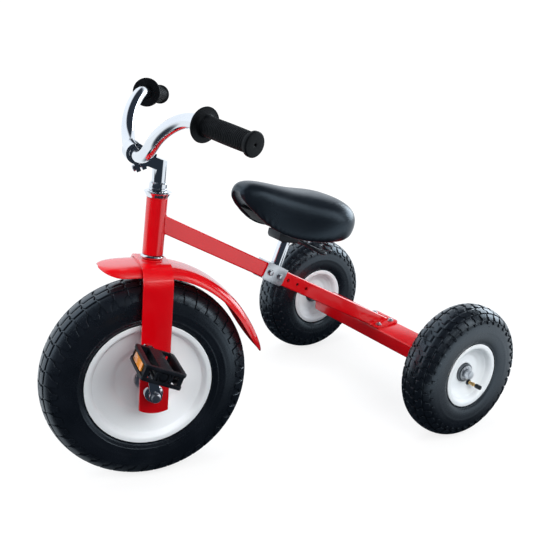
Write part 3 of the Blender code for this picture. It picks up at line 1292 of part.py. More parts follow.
def build():
    head = add_empty("head_axis", (0, AXIS_BACK, AXIS_UP), (-HEAD_TILT, 0, 0))
    steering = add_empty("steering_axis", (0, 0, 0), (0, 0, STEER_ANGLE), head)
    stem = add_empty("stem_axis", (0, 0, 0), (0, 0, BAR_TWIST), steering)
    axle = add_empty("front_axle_axis", (0, FORK_OFFSET, 0), (0, 0, 0), steering)
    bpy.context.view_layer.update()

    add_head_tube(head)
    add_main_tube(head)
    add_rear_beam()
    add_rear_axle()
    foot = add_seat_bracket()
    add_saddle(foot)

    add_fork(steering)
    add_mudguard(steering)
    add_headset(head, steering)
    add_stem(stem)
    add_handlebar(stem)
    for side, word in SIDES:
        add_bearing_cup(steering, side, word)

    add_front_wheel(axle)
    half = CRANK_INNER + CRANK_THICKNESS
    rod("front_axle", AXLE_RADIUS, 2 * half, "zinc", axle, (0, 0, 0), (0, math.pi / 2, 0))
    for side, word in SIDES:
        hanger = add_crank(axle, side, word)
        add_pedal(hanger, side, word)
        add_rear_wheel(side, word)


build()
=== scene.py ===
import json
import math
import random

import bmesh
import bpy
from mathutils import Matrix, Vector, noise

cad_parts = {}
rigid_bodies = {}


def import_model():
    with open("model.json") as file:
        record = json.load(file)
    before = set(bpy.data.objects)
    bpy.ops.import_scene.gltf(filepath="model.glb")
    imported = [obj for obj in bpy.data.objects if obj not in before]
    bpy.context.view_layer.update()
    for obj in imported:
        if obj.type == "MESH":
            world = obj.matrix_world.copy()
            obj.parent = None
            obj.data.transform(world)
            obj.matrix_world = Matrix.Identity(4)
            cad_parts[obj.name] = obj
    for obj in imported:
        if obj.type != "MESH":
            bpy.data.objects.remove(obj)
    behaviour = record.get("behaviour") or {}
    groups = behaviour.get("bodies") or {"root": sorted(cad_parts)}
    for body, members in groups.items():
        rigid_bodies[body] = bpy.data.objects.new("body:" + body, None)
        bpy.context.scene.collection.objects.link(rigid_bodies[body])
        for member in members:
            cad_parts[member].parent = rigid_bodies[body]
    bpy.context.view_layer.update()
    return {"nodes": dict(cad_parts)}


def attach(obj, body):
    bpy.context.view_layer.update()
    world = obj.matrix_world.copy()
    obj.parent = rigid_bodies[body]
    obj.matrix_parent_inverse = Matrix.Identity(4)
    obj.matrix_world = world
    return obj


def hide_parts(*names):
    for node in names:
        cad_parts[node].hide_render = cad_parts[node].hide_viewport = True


for leftover in list(bpy.data.objects):
    bpy.data.objects.remove(leftover, do_unlink=True)

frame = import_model()
scene = bpy.context.scene
mm = 0.001
bothSides = ((1, "left"), (-1, "right"))
print("frame loaded:", len(frame["nodes"]), "nodes")


# Shader groups: each gives only colours, masks and values that change over the surface

def newGroup(name, inputs, outputs):
    tree = bpy.data.node_groups.new(name, "ShaderNodeTree")
    for label, value in inputs.items():
        kind = "NodeSocketColor" if isinstance(value, tuple) else "NodeSocketFloat"
        tree.interface.new_socket(label, in_out="INPUT", socket_type=kind).default_value = value
    for label in outputs:
        kind = "NodeSocketColor" if label == "Colour" else "NodeSocketFloat"
        tree.interface.new_socket(label, in_out="OUTPUT", socket_type=kind)
    return tree, tree.nodes.new("NodeGroupInput").outputs, tree.nodes.new("NodeGroupOutput").inputs


def feed(tree, value, socket):
    if isinstance(value, (int, float, tuple)):
        socket.default_value = value
    else:
        tree.links.new(value, socket)


def addMath(tree, operation, first, second):
    node = tree.nodes.new("ShaderNodeMath")
    node.operation = operation
    feed(tree, first, node.inputs[0])
    feed(tree, second, node.inputs[1])
    return node.outputs[0]


def addRange(tree, value, low, high, newLow=0.0, newHigh=1.0):
    node = tree.nodes.new("ShaderNodeMapRange")
    node.interpolation_type = "SMOOTHSTEP"
    tree.links.new(value, node.inputs["Value"])
    for label, number in (("From Min", low), ("From Max", high), ("To Min", newLow), ("To Max", newHigh)):
        node.inputs[label].default_value = number
    return node.outputs["Result"]


def addVector(tree, operation, first, second=None):
    node = tree.nodes.new("ShaderNodeVectorMath")
    node.operation = operation
    tree.links.new(first, node.inputs[0])
    if second:
        node.inputs[1].default_value = second
    return node.outputs["Value" if operation in ("DISTANCE", "LENGTH", "DOT_PRODUCT") else "Vector"]


def addSlope(tree, vector, direction, low, high):
    return addRange(tree, addVector(tree, "DOT_PRODUCT", vector, direction), low, high)


def addNoise(tree, scale, detail, stretch=(1, 1, 1), roughness=0.55):
    where = tree.nodes.new("ShaderNodeTexCoord")
    mapping = tree.nodes.new("ShaderNodeMapping")
    mapping.inputs["Scale"].default_value = stretch
    tree.links.new(where.outputs["Object"], mapping.inputs["Vector"])
    texture = tree.nodes.new("ShaderNodeTexNoise")
    tree.links.new(mapping.outputs["Vector"], texture.inputs["Vector"])
    feed(tree, scale, texture.inputs["Scale"])
    texture.inputs["Detail"].default_value = detail
    texture.inputs["Roughness"].default_value = roughness
    return texture.outputs["Fac"]


def addMix(tree, share, first, second):
    node = tree.nodes.new("ShaderNodeMix")
    node.data_type = "RGBA"
    tree.links.new(share, node.inputs[0])
    feed(tree, first, node.inputs[6])
    feed(tree, second, node.inputs[7])
    return node.outputs[2]


def makeColourDrift():
    inputs = {"Colour": (1, 1, 1, 1), "Shade": (0, 0, 0, 1), "Scale": 20.0, "Amount": 0.2}
    tree, given, result = newGroup("colour drift", inputs, ("Colour",))
    cloud = addRange(tree, addNoise(tree, given["Scale"], 4), 0.35, 0.68)
    share = addMath(tree, "MULTIPLY", cloud, given["Amount"])
    tree.links.new(addMix(tree, share, given["Colour"], given["Shade"]), result["Colour"])
    return tree


def makeGrain():
    inputs = {"Scale": 600.0, "Level": 0.4, "Spread": 0.1}
    tree, given, result = newGroup("grain", inputs, ("Height", "Roughness"))
    fine = addNoise(tree, given["Scale"], 3)
    tree.links.new(fine, result["Height"])
    broad = addMath(tree, "MULTIPLY", addNoise(tree, 26.0, 5), 0.7)
    both = addMath(tree, "ADD", broad, addMath(tree, "MULTIPLY", fine, 0.3))
    offset = addMath(tree, "MULTIPLY", addMath(tree, "SUBTRACT", both, 0.5), given["Spread"])
    tree.links.new(addMath(tree, "ADD", offset, given["Level"]), result["Roughness"])
    return tree


def makeScuffs():
    tree, given, result = newGroup("scuffs", {"Scale": 60.0, "Cover": 0.3}, ("Mask",))
    streaks = addRange(tree, addNoise(tree, given["Scale"], 6, (1, 0.22, 3.4), 0.7), 0.66, 0.74)
    patches = addRange(tree, addNoise(tree, 9.0, 3), 0.46, 0.62)
    marks = addMath(tree, "MULTIPLY", streaks, patches)
    tree.links.new(addMath(tree, "MULTIPLY", marks, given["Cover"]), result["Mask"])
    return tree


def makeDust():
    tree, given, result = newGroup("dust", {"Scale": 40.0, "Amount": 0.2}, ("Mask",))
    parts = tree.nodes.new("ShaderNodeSeparateXYZ")
    tree.links.new(tree.nodes.new("ShaderNodeNewGeometry").outputs["Normal"], parts.inputs[0])
    level = addRange(tree, parts.outputs["Z"], -0.2, 1.0, 0.15, 1.0)
    both = addMath(tree, "MULTIPLY", level, addRange(tree, addNoise(tree, given["Scale"], 6), 0.4, 0.75))
    tree.links.new(addMath(tree, "MULTIPLY", both, given["Amount"]), result["Mask"])
    return tree


def makePebble():
    tree, given, result = newGroup("pebbled skin", {"Scale": 500.0}, ("Height",))
    cells = tree.nodes.new("ShaderNodeTexVoronoi")
    cells.feature = "DISTANCE_TO_EDGE"
    tree.links.new(tree.nodes.new("ShaderNodeTexCoord").outputs["Object"], cells.inputs["Vector"])
    tree.links.new(given["Scale"], cells.inputs["Scale"])
    valley = addRange(tree, cells.outputs["Distance"], 0.0, 0.22)
    soft = addMath(tree, "MULTIPLY", addNoise(tree, 1400.0, 2), 0.25)
    tree.links.new(addMath(tree, "ADD", valley, soft), result["Height"])
    return tree


shaderGroups = {
    "drift": makeColourDrift(), "grain": makeGrain(), "scuffs": makeScuffs(), "dust": makeDust(),
    "pebble": makePebble(),
}


def placeGroup(tree, name, *values):
    node = tree.nodes.new("ShaderNodeGroup")
    node.node_tree = shaderGroups[name]
    for socket, value in zip(node.inputs, values):
        socket.default_value = value
    return node.outputs


def startMaterial(name, values):
    material = bpy.data.materials.new(name)
    material.use_nodes = True
    tree = material.node_tree
    shader = tree.nodes["Principled BSDF"]
    for label, value in values.items():
        shader.inputs[label].default_value = value
    return material, tree, shader


def addBump(tree, shader, height, strength, depth):
    bump = tree.nodes.new("ShaderNodeBump")
    bump.inputs["Strength"].default_value = strength
    bump.inputs["Distance"].default_value = depth * mm
    tree.links.new(height, bump.inputs["Height"])
    tree.links.new(bump.outputs["Normal"], shader.inputs["Normal"])


# One row for each finish: what the surface is, then how it varies.
# drift, scuffs, dust: scale and amount. grain: scale, roughness and its spread. bump: strength, depth in mm.
finishTable = {
    "red_paint": {
        "shader": {"Coat Weight": 0.8, "Coat Roughness": 0.06, "Coat IOR": 1.5, "Specular IOR Level": 0.5},
        "colour": (0.72, 0.000, 0.004, 1), "shade": (0.58, 0.0, 0.003, 1), "drift": (7.0, 0.4),
        "worn": (0.62, 0.05, 0.05, 1), "scuffs": (55.0, 0.30),
        "dustColour": (0.78, 0.22, 0.20, 1), "dust": (30.0, 0.05),
        "grain": (210.0, 0.24, 0.12), "bump": (0.05, 0.6),
    },
    "white_paint": {
        "shader": {"Coat Weight": 0.35, "Coat Roughness": 0.12},
        "colour": (0.94, 0.98, 1.0, 1), "shade": (0.87, 0.93, 0.98, 1), "drift": (9.0, 0.4),
        "worn": (0.66, 0.68, 0.71, 1), "scuffs": (40.0, 0.25),
        "dustColour": (0.74, 0.76, 0.78, 1), "dust": (26.0, 0.08),
        "grain": (260.0, 0.34, 0.16), "bump": (0.05, 0.6),
    },
    "chrome": {
        "shader": {"Metallic": 1.0},
        "colour": (0.83, 0.85, 0.88, 1), "shade": (0.70, 0.73, 0.78, 1), "drift": (12.0, 0.4),
        "worn": (0.55, 0.55, 0.56, 1), "scuffs": (90.0, 0.25),
        "dustColour": (0.60, 0.60, 0.60, 1), "dust": (60.0, 0.06),
        "grain": (320.0, 0.09, 0.10), "bump": (0.02, 0.4),
    },
    "zinc": {
        "shader": {"Metallic": 1.0},
        "colour": (0.78, 0.80, 0.83, 1), "shade": (0.58, 0.62, 0.67, 1), "drift": (60.0, 0.6),
        "worn": (0.45, 0.46, 0.48, 1), "scuffs": (120.0, 0.5),
        "dustColour": (0.50, 0.50, 0.48, 1), "dust": (80.0, 0.15),
        "grain": (900.0, 0.30, 0.22), "bump": (0.10, 0.3),
    },
    "dark_steel": {
        "shader": {"Metallic": 1.0},
        "colour": (0.17, 0.19, 0.21, 1), "shade": (0.08, 0.09, 0.10, 1), "drift": (70.0, 0.7),
        "worn": (0.42, 0.42, 0.43, 1), "scuffs": (150.0, 0.6),
        "dustColour": (0.25, 0.24, 0.22, 1), "dust": (90.0, 0.25),
        "grain": (1100.0, 0.36, 0.24), "bump": (0.12, 0.3),
    },
    "tyre_rubber": {
        "shader": {"Specular IOR Level": 1.0, "Specular Tint": (0.72, 0.87, 1.0, 1)},
        "colour": (0.0035, 0.0045, 0.0065, 1), "shade": (0.008, 0.010, 0.014, 1), "drift": (16.0, 0.6),
        "worn": (0.026, 0.030, 0.036, 1), "scuffs": (70.0, 0.4),
        "dustColour": (0.030, 0.034, 0.040, 1), "dust": (34.0, 0.14),
        "grain": (900.0, 0.27, 0.18), "bump": (0.14, 0.5),
    },
    "grip_rubber": {
        "shader": {"Specular IOR Level": 0.20, "Specular Tint": (0.85, 0.92, 1.0, 1)},
        "colour": (0.0024, 0.0028, 0.0034, 1), "shade": (0.005, 0.006, 0.007, 1), "drift": (60.0, 0.6),
        "worn": (0.018, 0.020, 0.022, 1), "scuffs": (160.0, 0.4),
        "dustColour": (0.022, 0.024, 0.026, 1), "dust": (90.0, 0.2),
        "grain": (1600.0, 0.52, 0.16), "bump": (0.25, 0.4),
    },
    "black_plastic": {
        "shader": {"Specular IOR Level": 0.42, "Specular Tint": (0.82, 0.91, 1.0, 1)},
        "colour": (0.0045, 0.0055, 0.0075, 1), "shade": (0.011, 0.013, 0.017, 1), "drift": (50.0, 0.6),
        "worn": (0.050, 0.056, 0.064, 1), "scuffs": (130.0, 0.5),
        "dustColour": (0.035, 0.038, 0.043, 1), "dust": (90.0, 0.2),
        "grain": (1300.0, 0.38, 0.20), "bump": (0.14, 0.3),
    },
    "saddle_vinyl": {
        "shader": {"Specular IOR Level": 0.70, "Specular Tint": (0.62, 0.82, 1.0, 1)},
        "colour": (0.0040, 0.0055, 0.0080, 1), "shade": (0.008, 0.011, 0.015, 1), "drift": (18.0, 0.5),
        "worn": (0.016, 0.020, 0.026, 1), "scuffs": (50.0, 0.2),
        "dustColour": (0.020, 0.025, 0.032, 1), "dust": (40.0, 0.10),
        "pebble": 900.0, "grain": (900.0, 0.29, 0.12), "bump": (0.08, 0.4),
    },
    "brass": {
        "shader": {"Metallic": 1.0},
        "colour": (0.78, 0.52, 0.22, 1), "shade": (0.55, 0.34, 0.13, 1), "drift": (120.0, 0.6),
        "worn": (0.40, 0.26, 0.12, 1), "scuffs": (200.0, 0.5),
        "dustColour": (0.35, 0.28, 0.20, 1), "dust": (160.0, 0.15),
        "grain": (1400.0, 0.26, 0.18), "bump": (0.08, 0.2),
    },
}


def buildFinish(name, row):
    material, tree, shader = startMaterial(name, row["shader"])
    drift = placeGroup(tree, "drift", row["colour"], row["shade"], *row["drift"])
    scuffs = placeGroup(tree, "scuffs", *row["scuffs"])
    dust = placeGroup(tree, "dust", *row["dust"])
    worn = addMix(tree, scuffs["Mask"], drift["Colour"], row["worn"])
    tree.links.new(addMix(tree, dust["Mask"], worn, row["dustColour"]), shader.inputs["Base Color"])
    grain = placeGroup(tree, "grain", *row["grain"])
    rougher = addMath(tree, "ADD", grain["Roughness"], addMath(tree, "MULTIPLY", scuffs["Mask"], 0.3))
    rougher = addMath(tree, "ADD", rougher, addMath(tree, "MULTIPLY", dust["Mask"], 0.4))
    tree.links.new(rougher, shader.inputs["Roughness"])
    skin = placeGroup(tree, "pebble", row["pebble"]) if "pebble" in row else grain
    addBump(tree, shader, skin["Height"], *row["bump"])
    return material


reflectorLook = {
    "shader": {"Coat Weight": 1.0, "Coat Roughness": 0.03, "Specular IOR Level": 0.6},
    "colour": (0.90, 0.32, 0.02, 1), "shade": (0.62, 0.16, 0.01, 1), "drift": (140.0, 0.5),
    "prisms": 420.0,  # prisms to the metre
    # edges: the colour turns towards the shade along each prism's edge, a painted shade
    "edges": (0.30, 0.55, 0.0, 0.5), "grain": (800.0, 0.16, 0.1), "bump": (0.5, 0.8),
}


def buildReflector():
    look = reflectorLook
    material, tree, shader = startMaterial("amber_plastic", look["shader"])
    prisms = tree.nodes.new("ShaderNodeTexVoronoi")
    prisms.distance = "CHEBYCHEV"
    prisms.inputs["Randomness"].default_value = 0.0
    prisms.inputs["Scale"].default_value = look["prisms"]
    tree.links.new(tree.nodes.new("ShaderNodeTexCoord").outputs["Object"], prisms.inputs["Vector"])
    depth = prisms.outputs["Distance"]
    drift = placeGroup(tree, "drift", look["colour"], look["shade"], *look["drift"])
    # painted shade: darker towards the edges of each prism
    edges = addRange(tree, depth, *look["edges"])
    tree.links.new(addMix(tree, edges, drift["Colour"], look["shade"]), shader.inputs["Base Color"])
    tree.links.new(placeGroup(tree, "grain", *look["grain"])["Roughness"], shader.inputs["Roughness"])
    addBump(tree, shader, depth, *look["bump"])
    return material


finishes = {name: buildFinish(name, row) for name, row in finishTable.items()}
finishes["amber_plastic"] = buildReflector()
print("finishes made:", len(finishes))


# Making shapes: sizes are in mm, and the meshes and matrices that come out are in metres

def softenCorners(points, radius, count=4, closed=True):
    result = []
    total = len(points)
    for index, point in enumerate(points):
        here = Vector(point)
        if not closed and index in (0, total - 1):
            result.append(tuple(here))
            continue
        before = Vector(points[index - 1]) - here
        after = Vector(points[(index + 1) % total]) - here
        reach = min(radius, before.length * 0.48, after.length * 0.48)
        start = here + before.normalized() * reach
        end = here + after.normalized() * reach
        for step in range(count + 1):
            share = step / count
            result.append(tuple(start * (1 - share) ** 2 + here * 2 * share * (1 - share) + end * share ** 2))
    return result


def arcPoints(centre, radius, start, end, count):
    points = []
    for step in range(count + 1):
        angle = math.radians(start + (end - start) * step / count)
        points.append((centre[0] + radius * math.cos(angle), centre[1] + radius * math.sin(angle)))
    return points


def roundPoints(centre, radius, count=32):
    return arcPoints(centre, radius, 0, 360 - 360 / count, count - 1)


def roundOblong(width, height, radius, count=5):
    across = width / 2 - radius
    up = height / 2 - radius
    points = []
    for x, y, start in ((across, up, 0), (-across, up, 90), (-across, -up, 180), (across, -up, 270)):
        points += arcPoints((x, y), radius, start, start + 90, count)
    return points


def pinProfile(radius, high, low):
    return [(0, high), (radius, high), (radius, low), (0, low)]


def ringProfile(outer, inner, high, low):
    return [(outer, high), (outer, low), (inner, low), (inner, high)]


def mirrored(points):
    return [(-x, *others) for x, *others in reversed(points)]


def bothEnds(profile):
    return [(r, -z) for r, z in reversed(profile)]


def meshFrom(build):
    shape = bmesh.new()
    build(shape)
    bmesh.ops.recalc_face_normals(shape, faces=shape.faces)
    return meshOf(shape)


def meshOf(shape):
    mesh = bpy.data.meshes.new("made")
    shape.to_mesh(mesh)
    shape.free()
    return mesh


def addVert(shape, x, y, z):
    return shape.verts.new((x * mm, y * mm, z * mm))


def joinRows(shape, rows):
    for first, second in zip(rows, rows[1:]):
        for index in range(len(first) - 1):
            shape.faces.new((first[index], first[index + 1], second[index + 1], second[index]))


def isLoop(profile):
    return min(profile[0][0], profile[-1][0]) > 0  # a profile that meets the axis stays open there


def spinInto(shape, profile, steps):
    rings = []
    for step in range(steps):
        turn = 2 * math.pi * step / steps
        cosine, sine = math.cos(turn), math.sin(turn)
        rings.append([addVert(shape, r * cosine, r * sine, z) for r, z in profile])
    count = len(profile)
    for index in range(steps):
        here, there = rings[index], rings[(index + 1) % steps]
        for first in range(count if isLoop(profile) else count - 1):
            second = (first + 1) % count
            shape.faces.new((here[first], there[first], there[second], here[second]))
    axisVerts = [v for ring in rings for v in ring if math.hypot(v.co.x, v.co.y) < 1e-6]
    if axisVerts:
        bmesh.ops.remove_doubles(shape, verts=axisVerts, dist=1e-6)


def turned(profile, soft=0, count=2, steps=64):
    if soft:
        profile = softenCorners(profile, soft, count, isLoop(profile))
    return meshFrom(lambda shape: spinInto(shape, profile, steps))


def rodMesh(radius, length, steps=64):
    return turned(pinProfile(radius, length / 2, -length / 2), steps=steps)


def blockMesh(size):
    def build(shape):
        bmesh.ops.create_cube(shape, size=1.0)
        bmesh.ops.scale(shape, vec=[value * mm for value in size], verts=shape.verts)
    return meshFrom(build)


def scratchObject(name, data):
    thing = bpy.data.objects.new(name, data)
    scene.collection.objects.link(thing)
    return thing


def takeMesh(thing):
    bpy.context.view_layer.update()
    graph = bpy.context.evaluated_depsgraph_get()
    mesh = bpy.data.meshes.new_from_object(thing.evaluated_get(graph))
    bpy.data.objects.remove(thing, do_unlink=True)
    return mesh


def sweptMesh(points, radius, kind="NURBS", sides=6, resolution=10, joined=False):
    curve = bpy.data.curves.new("wire", "CURVE")
    curve.dimensions = "3D"
    curve.bevel_depth = radius * mm
    curve.bevel_resolution = sides
    curve.resolution_u = resolution
    curve.use_fill_caps = True
    spline = curve.splines.new(kind)
    spline.points.add(len(points) - 1)
    spline.use_cyclic_u = joined
    for point, place in zip(spline.points, points):
        point.co = (*(value * mm for value in place), 1)
    if kind == "NURBS":
        spline.order_u = 4
        spline.use_endpoint_u = not joined
    return takeMesh(scratchObject("wire", curve))


def slabMesh(outlines, thickness):
    curve = bpy.data.curves.new("slab", "CURVE")
    curve.dimensions = "2D"
    curve.fill_mode = "BOTH"
    curve.extrude = thickness * mm / 2
    for outline in outlines:
        spline = curve.splines.new("POLY")
        spline.points.add(len(outline) - 1)
        spline.use_cyclic_u = True
        for point, (x, y) in zip(spline.points, outline):
            point.co = (x * mm, y * mm, 0, 1)
    shape = bmesh.new()
    shape.from_mesh(takeMesh(scratchObject("slab", curve)))
    bmesh.ops.remove_doubles(shape, verts=shape.verts, dist=0.02 * mm)
    bmesh.ops.recalc_face_normals(shape, faces=shape.faces)
    return meshOf(shape)


def easeEdges(mesh, width, segments=2, angle=35.0):
    thing = scratchObject("eased", mesh)
    bevel = thing.modifiers.new("eased edges", "BEVEL")
    bevel.width = width * mm
    bevel.segments = segments
    bevel.limit_method = "ANGLE"
    bevel.angle_limit = math.radians(angle)
    bevel.harden_normals = False
    return takeMesh(thing)


def thickSheet(mesh, thickness, side):
    thing = scratchObject("sheet", mesh)
    wall = thing.modifiers.new("sheet", "SOLIDIFY")
    wall.thickness = thickness * mm
    wall.offset = side
    return takeMesh(thing)


def mergeMeshes(meshes):
    shape = bmesh.new()
    for mesh in meshes:
        shape.from_mesh(mesh)
    return meshOf(shape)


def moved(mesh, place):
    mesh.transform(place)
    return mesh


def carved(mesh, others, operation="DIFFERENCE"):
    body = scratchObject("carved", mesh)
    tools = [scratchObject("tool", other) for other in others]
    for tool in tools:
        change = body.modifiers.new("cut", "BOOLEAN")
        change.operation = operation
        change.solver = "EXACT"
        change.object = tool
    result = takeMesh(body)
    for tool in tools:
        bpy.data.objects.remove(tool, do_unlink=True)
    return result


def camel(words):
    first, *others = words.split("_")
    return first + "".join(word.capitalize() for word in others)


def addPiece(nodes, mesh, finish, body, place=None, angle=35.0, name=None):
    if place is not None:
        mesh.transform(place)
    mesh.materials.clear()
    mesh.materials.append(finishes[finish])
    mesh.shade_smooth()
    mesh.set_sharp_from_angle(angle=math.radians(angle))
    piece = scratchObject(name or camel(nodes[0]), mesh)
    mesh.name = piece.name
    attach(piece, body)
    if nodes:
        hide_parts(*nodes)
    return piece


def shift(x=0.0, y=0.0, z=0.0):
    return Matrix.Translation((x * mm, y * mm, z * mm))


def turnX(angle):
    return Matrix.Rotation(angle, 4, "X")


def turnY(angle):
    return Matrix.Rotation(angle, 4, "Y")


def turnZ(angle):
    return Matrix.Rotation(angle, 4, "Z")


def outward(side):
    return turnY(side * math.pi / 2)  # points a turned piece out to its side


layAcross = turnY(math.pi / 2)  # lays a turned piece along X
standUp = turnX(math.pi / 2)  # stands a slab up, facing forwards
standSideways = turnZ(math.pi / 2) @ standUp  # stands a slab up, facing sideways
gap = 0.3  # left between parts that meet


# Stance: the same places as in the frame

stance = {
    "wheelbase": 544.8, "rearTrack": 471.6, "beamLength": 349.0, "frontAxleHeight": 181.3, "rearAxleHeight": 130.0,
    "headTilt": math.radians(8.5), "steer": math.radians(-14.9), "barTwist": math.radians(-1.1), "forkOffset": 4.2,
    "crankLean": math.radians(12.3), "crankLength": 86.0, "pedalPitch": math.radians(-18.1),
    "saddleTilt": math.radians(17.0), "saddleAt": (0.0, 300.0, 380.0),
}

offsetBack = stance["forkOffset"] * math.cos(stance["steer"])
headFoot = stance["frontAxleHeight"] + offsetBack * math.sin(stance["headTilt"])
headPlace = shift(0, -offsetBack * math.cos(stance["headTilt"]), headFoot) @ turnX(-stance["headTilt"])
steeringPlace = headPlace @ turnZ(stance["steer"])
stemPlace = steeringPlace @ turnZ(stance["barTwist"])
axlePlace = steeringPlace @ shift(0, stance["forkOffset"], 0)
saddlePlace = shift(*stance["saddleAt"]) @ turnX(-stance["saddleTilt"])
beamPlace = shift(0, stance["wheelbase"], stance["rearAxleHeight"])


# Tyres

frontTyre = {
    "radius": 179.2, "half": 43.0, "shoulder": 40.2, "squareness": 2.2, "lip": 111.8, "bead": 35.2, "seat": 103.0,
    "lug": 2.4, "pitches": 44, "steps": 176, "vents": 26, "seed": 3,
    "ridges": ((0.10, 0.05, 0.5), (0.46, 0.03, 0.7), (0.90, 0.05, 0.9)),  # place down the sidewall, width, height
    "band": ((0.80, 0.012, 0.9),),  # the thin line below the lugs
}
rearTyre = {
    "radius": 127.9, "half": 37.6, "shoulder": 32.4, "squareness": 2.2, "lip": 64.0, "bead": 30.1, "seat": 56.0,
    "lug": 2.4, "pitches": 38, "steps": 190, "vents": 22, "seed": 8,
    "ridges": ((0.12, 0.05, 0.4), (0.88, 0.06, 0.9)), "band": (),
}

# Blocks of one pitch: rows of (place across the tread, start, end), start and end in pitches
frontBlocks = {
    "middle": ((-0.115, 0.04, 0.88), (-0.06, 0.10, 0.94), (0.0, 0.16, 1.0), (0.06, 0.10, 0.94),
               (0.115, 0.04, 0.88)),
    "sides": (
        ((0.15, 0.05, 0.92), (0.20, 0.12, 0.99), (0.25, 0.18, 1.05), (0.30, 0.12, 0.99), (0.335, 0.05, 0.92)),
        ((0.365, 0.00, 0.93), (0.46, 0.02, 0.95), (0.53, 0.05, 0.97), (0.56, 0.16, 0.97), (0.60, 0.30, 0.92),
         (0.68, 0.40, 0.90), (0.775, 0.48, 0.88)),
    ),
}
rearBlocks = {
    "middle": ((-0.15, 0.00, 0.66), (-0.03, 0.00, 0.66), (0.03, 0.30, 0.94), (0.15, 0.30, 0.94)),
    "sides": (
        ((0.19, 0.46, 1.30), (0.29, 0.46, 1.30), (0.33, 0.22, 1.06), (0.43, 0.22, 1.06)),
        ((0.47, 0.54, 1.38), (0.56, 0.54, 1.38), (0.60, 0.60, 1.30), (0.70, 0.66, 1.26)),
        ((0.73, 0.20, 0.52), (0.84, 0.22, 0.50)),
    ),
}
tread = {"foot": -0.8, "edge": 0.7, "brow": 0.6}  # foot of a block under the skin, its eased edge, the edge's fall


def tyreAt(tyre, across):
    turn = math.radians(90 * (1 - min(1.0, abs(across))))
    power = 2 / tyre["squareness"]
    radius = tyre["radius"] - tyre["shoulder"] + tyre["shoulder"] * math.sin(turn) ** power
    return Vector((radius, math.copysign(tyre["half"] * math.cos(turn) ** power, across)))


def raisedAt(tyre, across, height):
    step = 0.01
    along = tyreAt(tyre, min(1.0, across + step)) - tyreAt(tyre, max(-1.0, across - step))
    return tyreAt(tyre, across) + Vector((along.y, -along.x)).normalized() * height


def bumpAt(place, ridges):
    return sum(height * math.exp(-((place - centre) / width) ** 2) for centre, width, height in ridges)


def tyreProfile(tyre):
    bead, middle = tyre["bead"], tyre["radius"] - tyre["shoulder"]
    drop = middle - tyre["lip"] - 1.2
    half = [raisedAt(tyre, step / 24, bumpAt(step / 24, tyre["band"])) for step in range(25)]
    for step in range(1, 25):
        turn = math.radians(90 * step / 24)
        rise = bumpAt(step / 24, tyre["ridges"])
        half.append((middle - (drop + 0.2 * rise) * math.sin(turn),
                     bead + (tyre["half"] - bead) * math.cos(turn) + rise))
    half = [tuple(point) for point in half]
    half += [(tyre["seat"], bead), (tyre["seat"], bead - 9), (middle - 8, tyre["half"] - 6),
             (tyre["radius"] - 14, tyre["half"] * 0.55)]
    return half + bothEnds(half[1:])


def treadBlock(shape, tyre, rows, start, side):
    pitch = 2 * math.pi / tyre["pitches"]
    foot, lug, brow = tread["foot"], tyre["lug"], tyre["lug"] - tread["brow"]
    finer = []
    for first, second in zip(rows, rows[1:]):
        count = max(1, int(round((second[0] - first[0]) / 0.05)))
        for step in range(count):
            share = step / count
            finer.append(tuple(a + (b - a) * share for a, b in zip(first, second)))
    finer.append(rows[-1])
    slack = tread["edge"] / max(0.5, (tyreAt(tyre, 0.52) - tyreAt(tyre, 0.48)).length / 0.04)
    levels = [(finer[0], foot), (finer[0], brow), ((finer[0][0] + slack, *finer[0][1:]), lug)]
    levels += [(row, lug) for row in finer[1:-1]]
    levels += [((finer[-1][0] - slack, *finer[-1][1:]), lug), (finer[-1], brow), (finer[-1], foot)]
    ease = tread["edge"] / tyre["radius"]
    grid = []
    for row, height in levels:
        low, rim, top = (raisedAt(tyre, row[0] * side, level) for level in (foot, min(height, brow), height))
        first, last = start + row[1] * pitch, start + row[2] * pitch
        columns = ((low, first), (rim, first), (top, first + ease), (top, (first + last) / 2),
                   (top, last - ease), (rim, last), (low, last))
        grid.append([addVert(shape, p.x * math.cos(a), p.x * math.sin(a), p.y) for p, a in columns])
    joinRows(shape, grid)
    border = grid[0] + [row[-1] for row in grid[1:-1]] + list(reversed(grid[-1]))
    shape.faces.new(border + [row[0] for row in reversed(grid[1:-1])])


def addVents(shape, tyre):
    chance = random.Random(tyre["seed"])
    for index in range(tyre["vents"]):
        side = 1 if index % 2 else -1
        across = side * (0.88 + 0.1 * chance.random())
        turn = 2 * math.pi * (index + chance.random()) / tyre["vents"]
        foot, tip = raisedAt(tyre, across, -0.3), raisedAt(tyre, across, 1.1)
        made = bmesh.ops.create_cone(shape, cap_ends=True, segments=8, radius1=0.55 * mm, radius2=0.4 * mm,
                                     depth=(tip - foot).length * mm)
        middle = (foot + tip) / 2
        lean = math.atan2(tip.x - foot.x, tip.y - foot.y)
        place = turnZ(turn) @ shift(middle.x, 0, middle.y) @ turnY(lean)
        bmesh.ops.transform(shape, matrix=place, verts=made["verts"])


def tyreMesh(tyre, blocks):
    def build(shape):
        spinInto(shape, tyreProfile(tyre), tyre["steps"])
        pitch = 2 * math.pi / tyre["pitches"]
        for index in range(tyre["pitches"]):
            treadBlock(shape, tyre, blocks["middle"], index * pitch, 1)
            for rows in blocks["sides"]:
                treadBlock(shape, tyre, rows, index * pitch, 1)
                treadBlock(shape, tyre, rows, (index + 0.5) * pitch, -1)
        addVents(shape, tyre)
    return meshFrom(build)


# Rims, hubs and valves

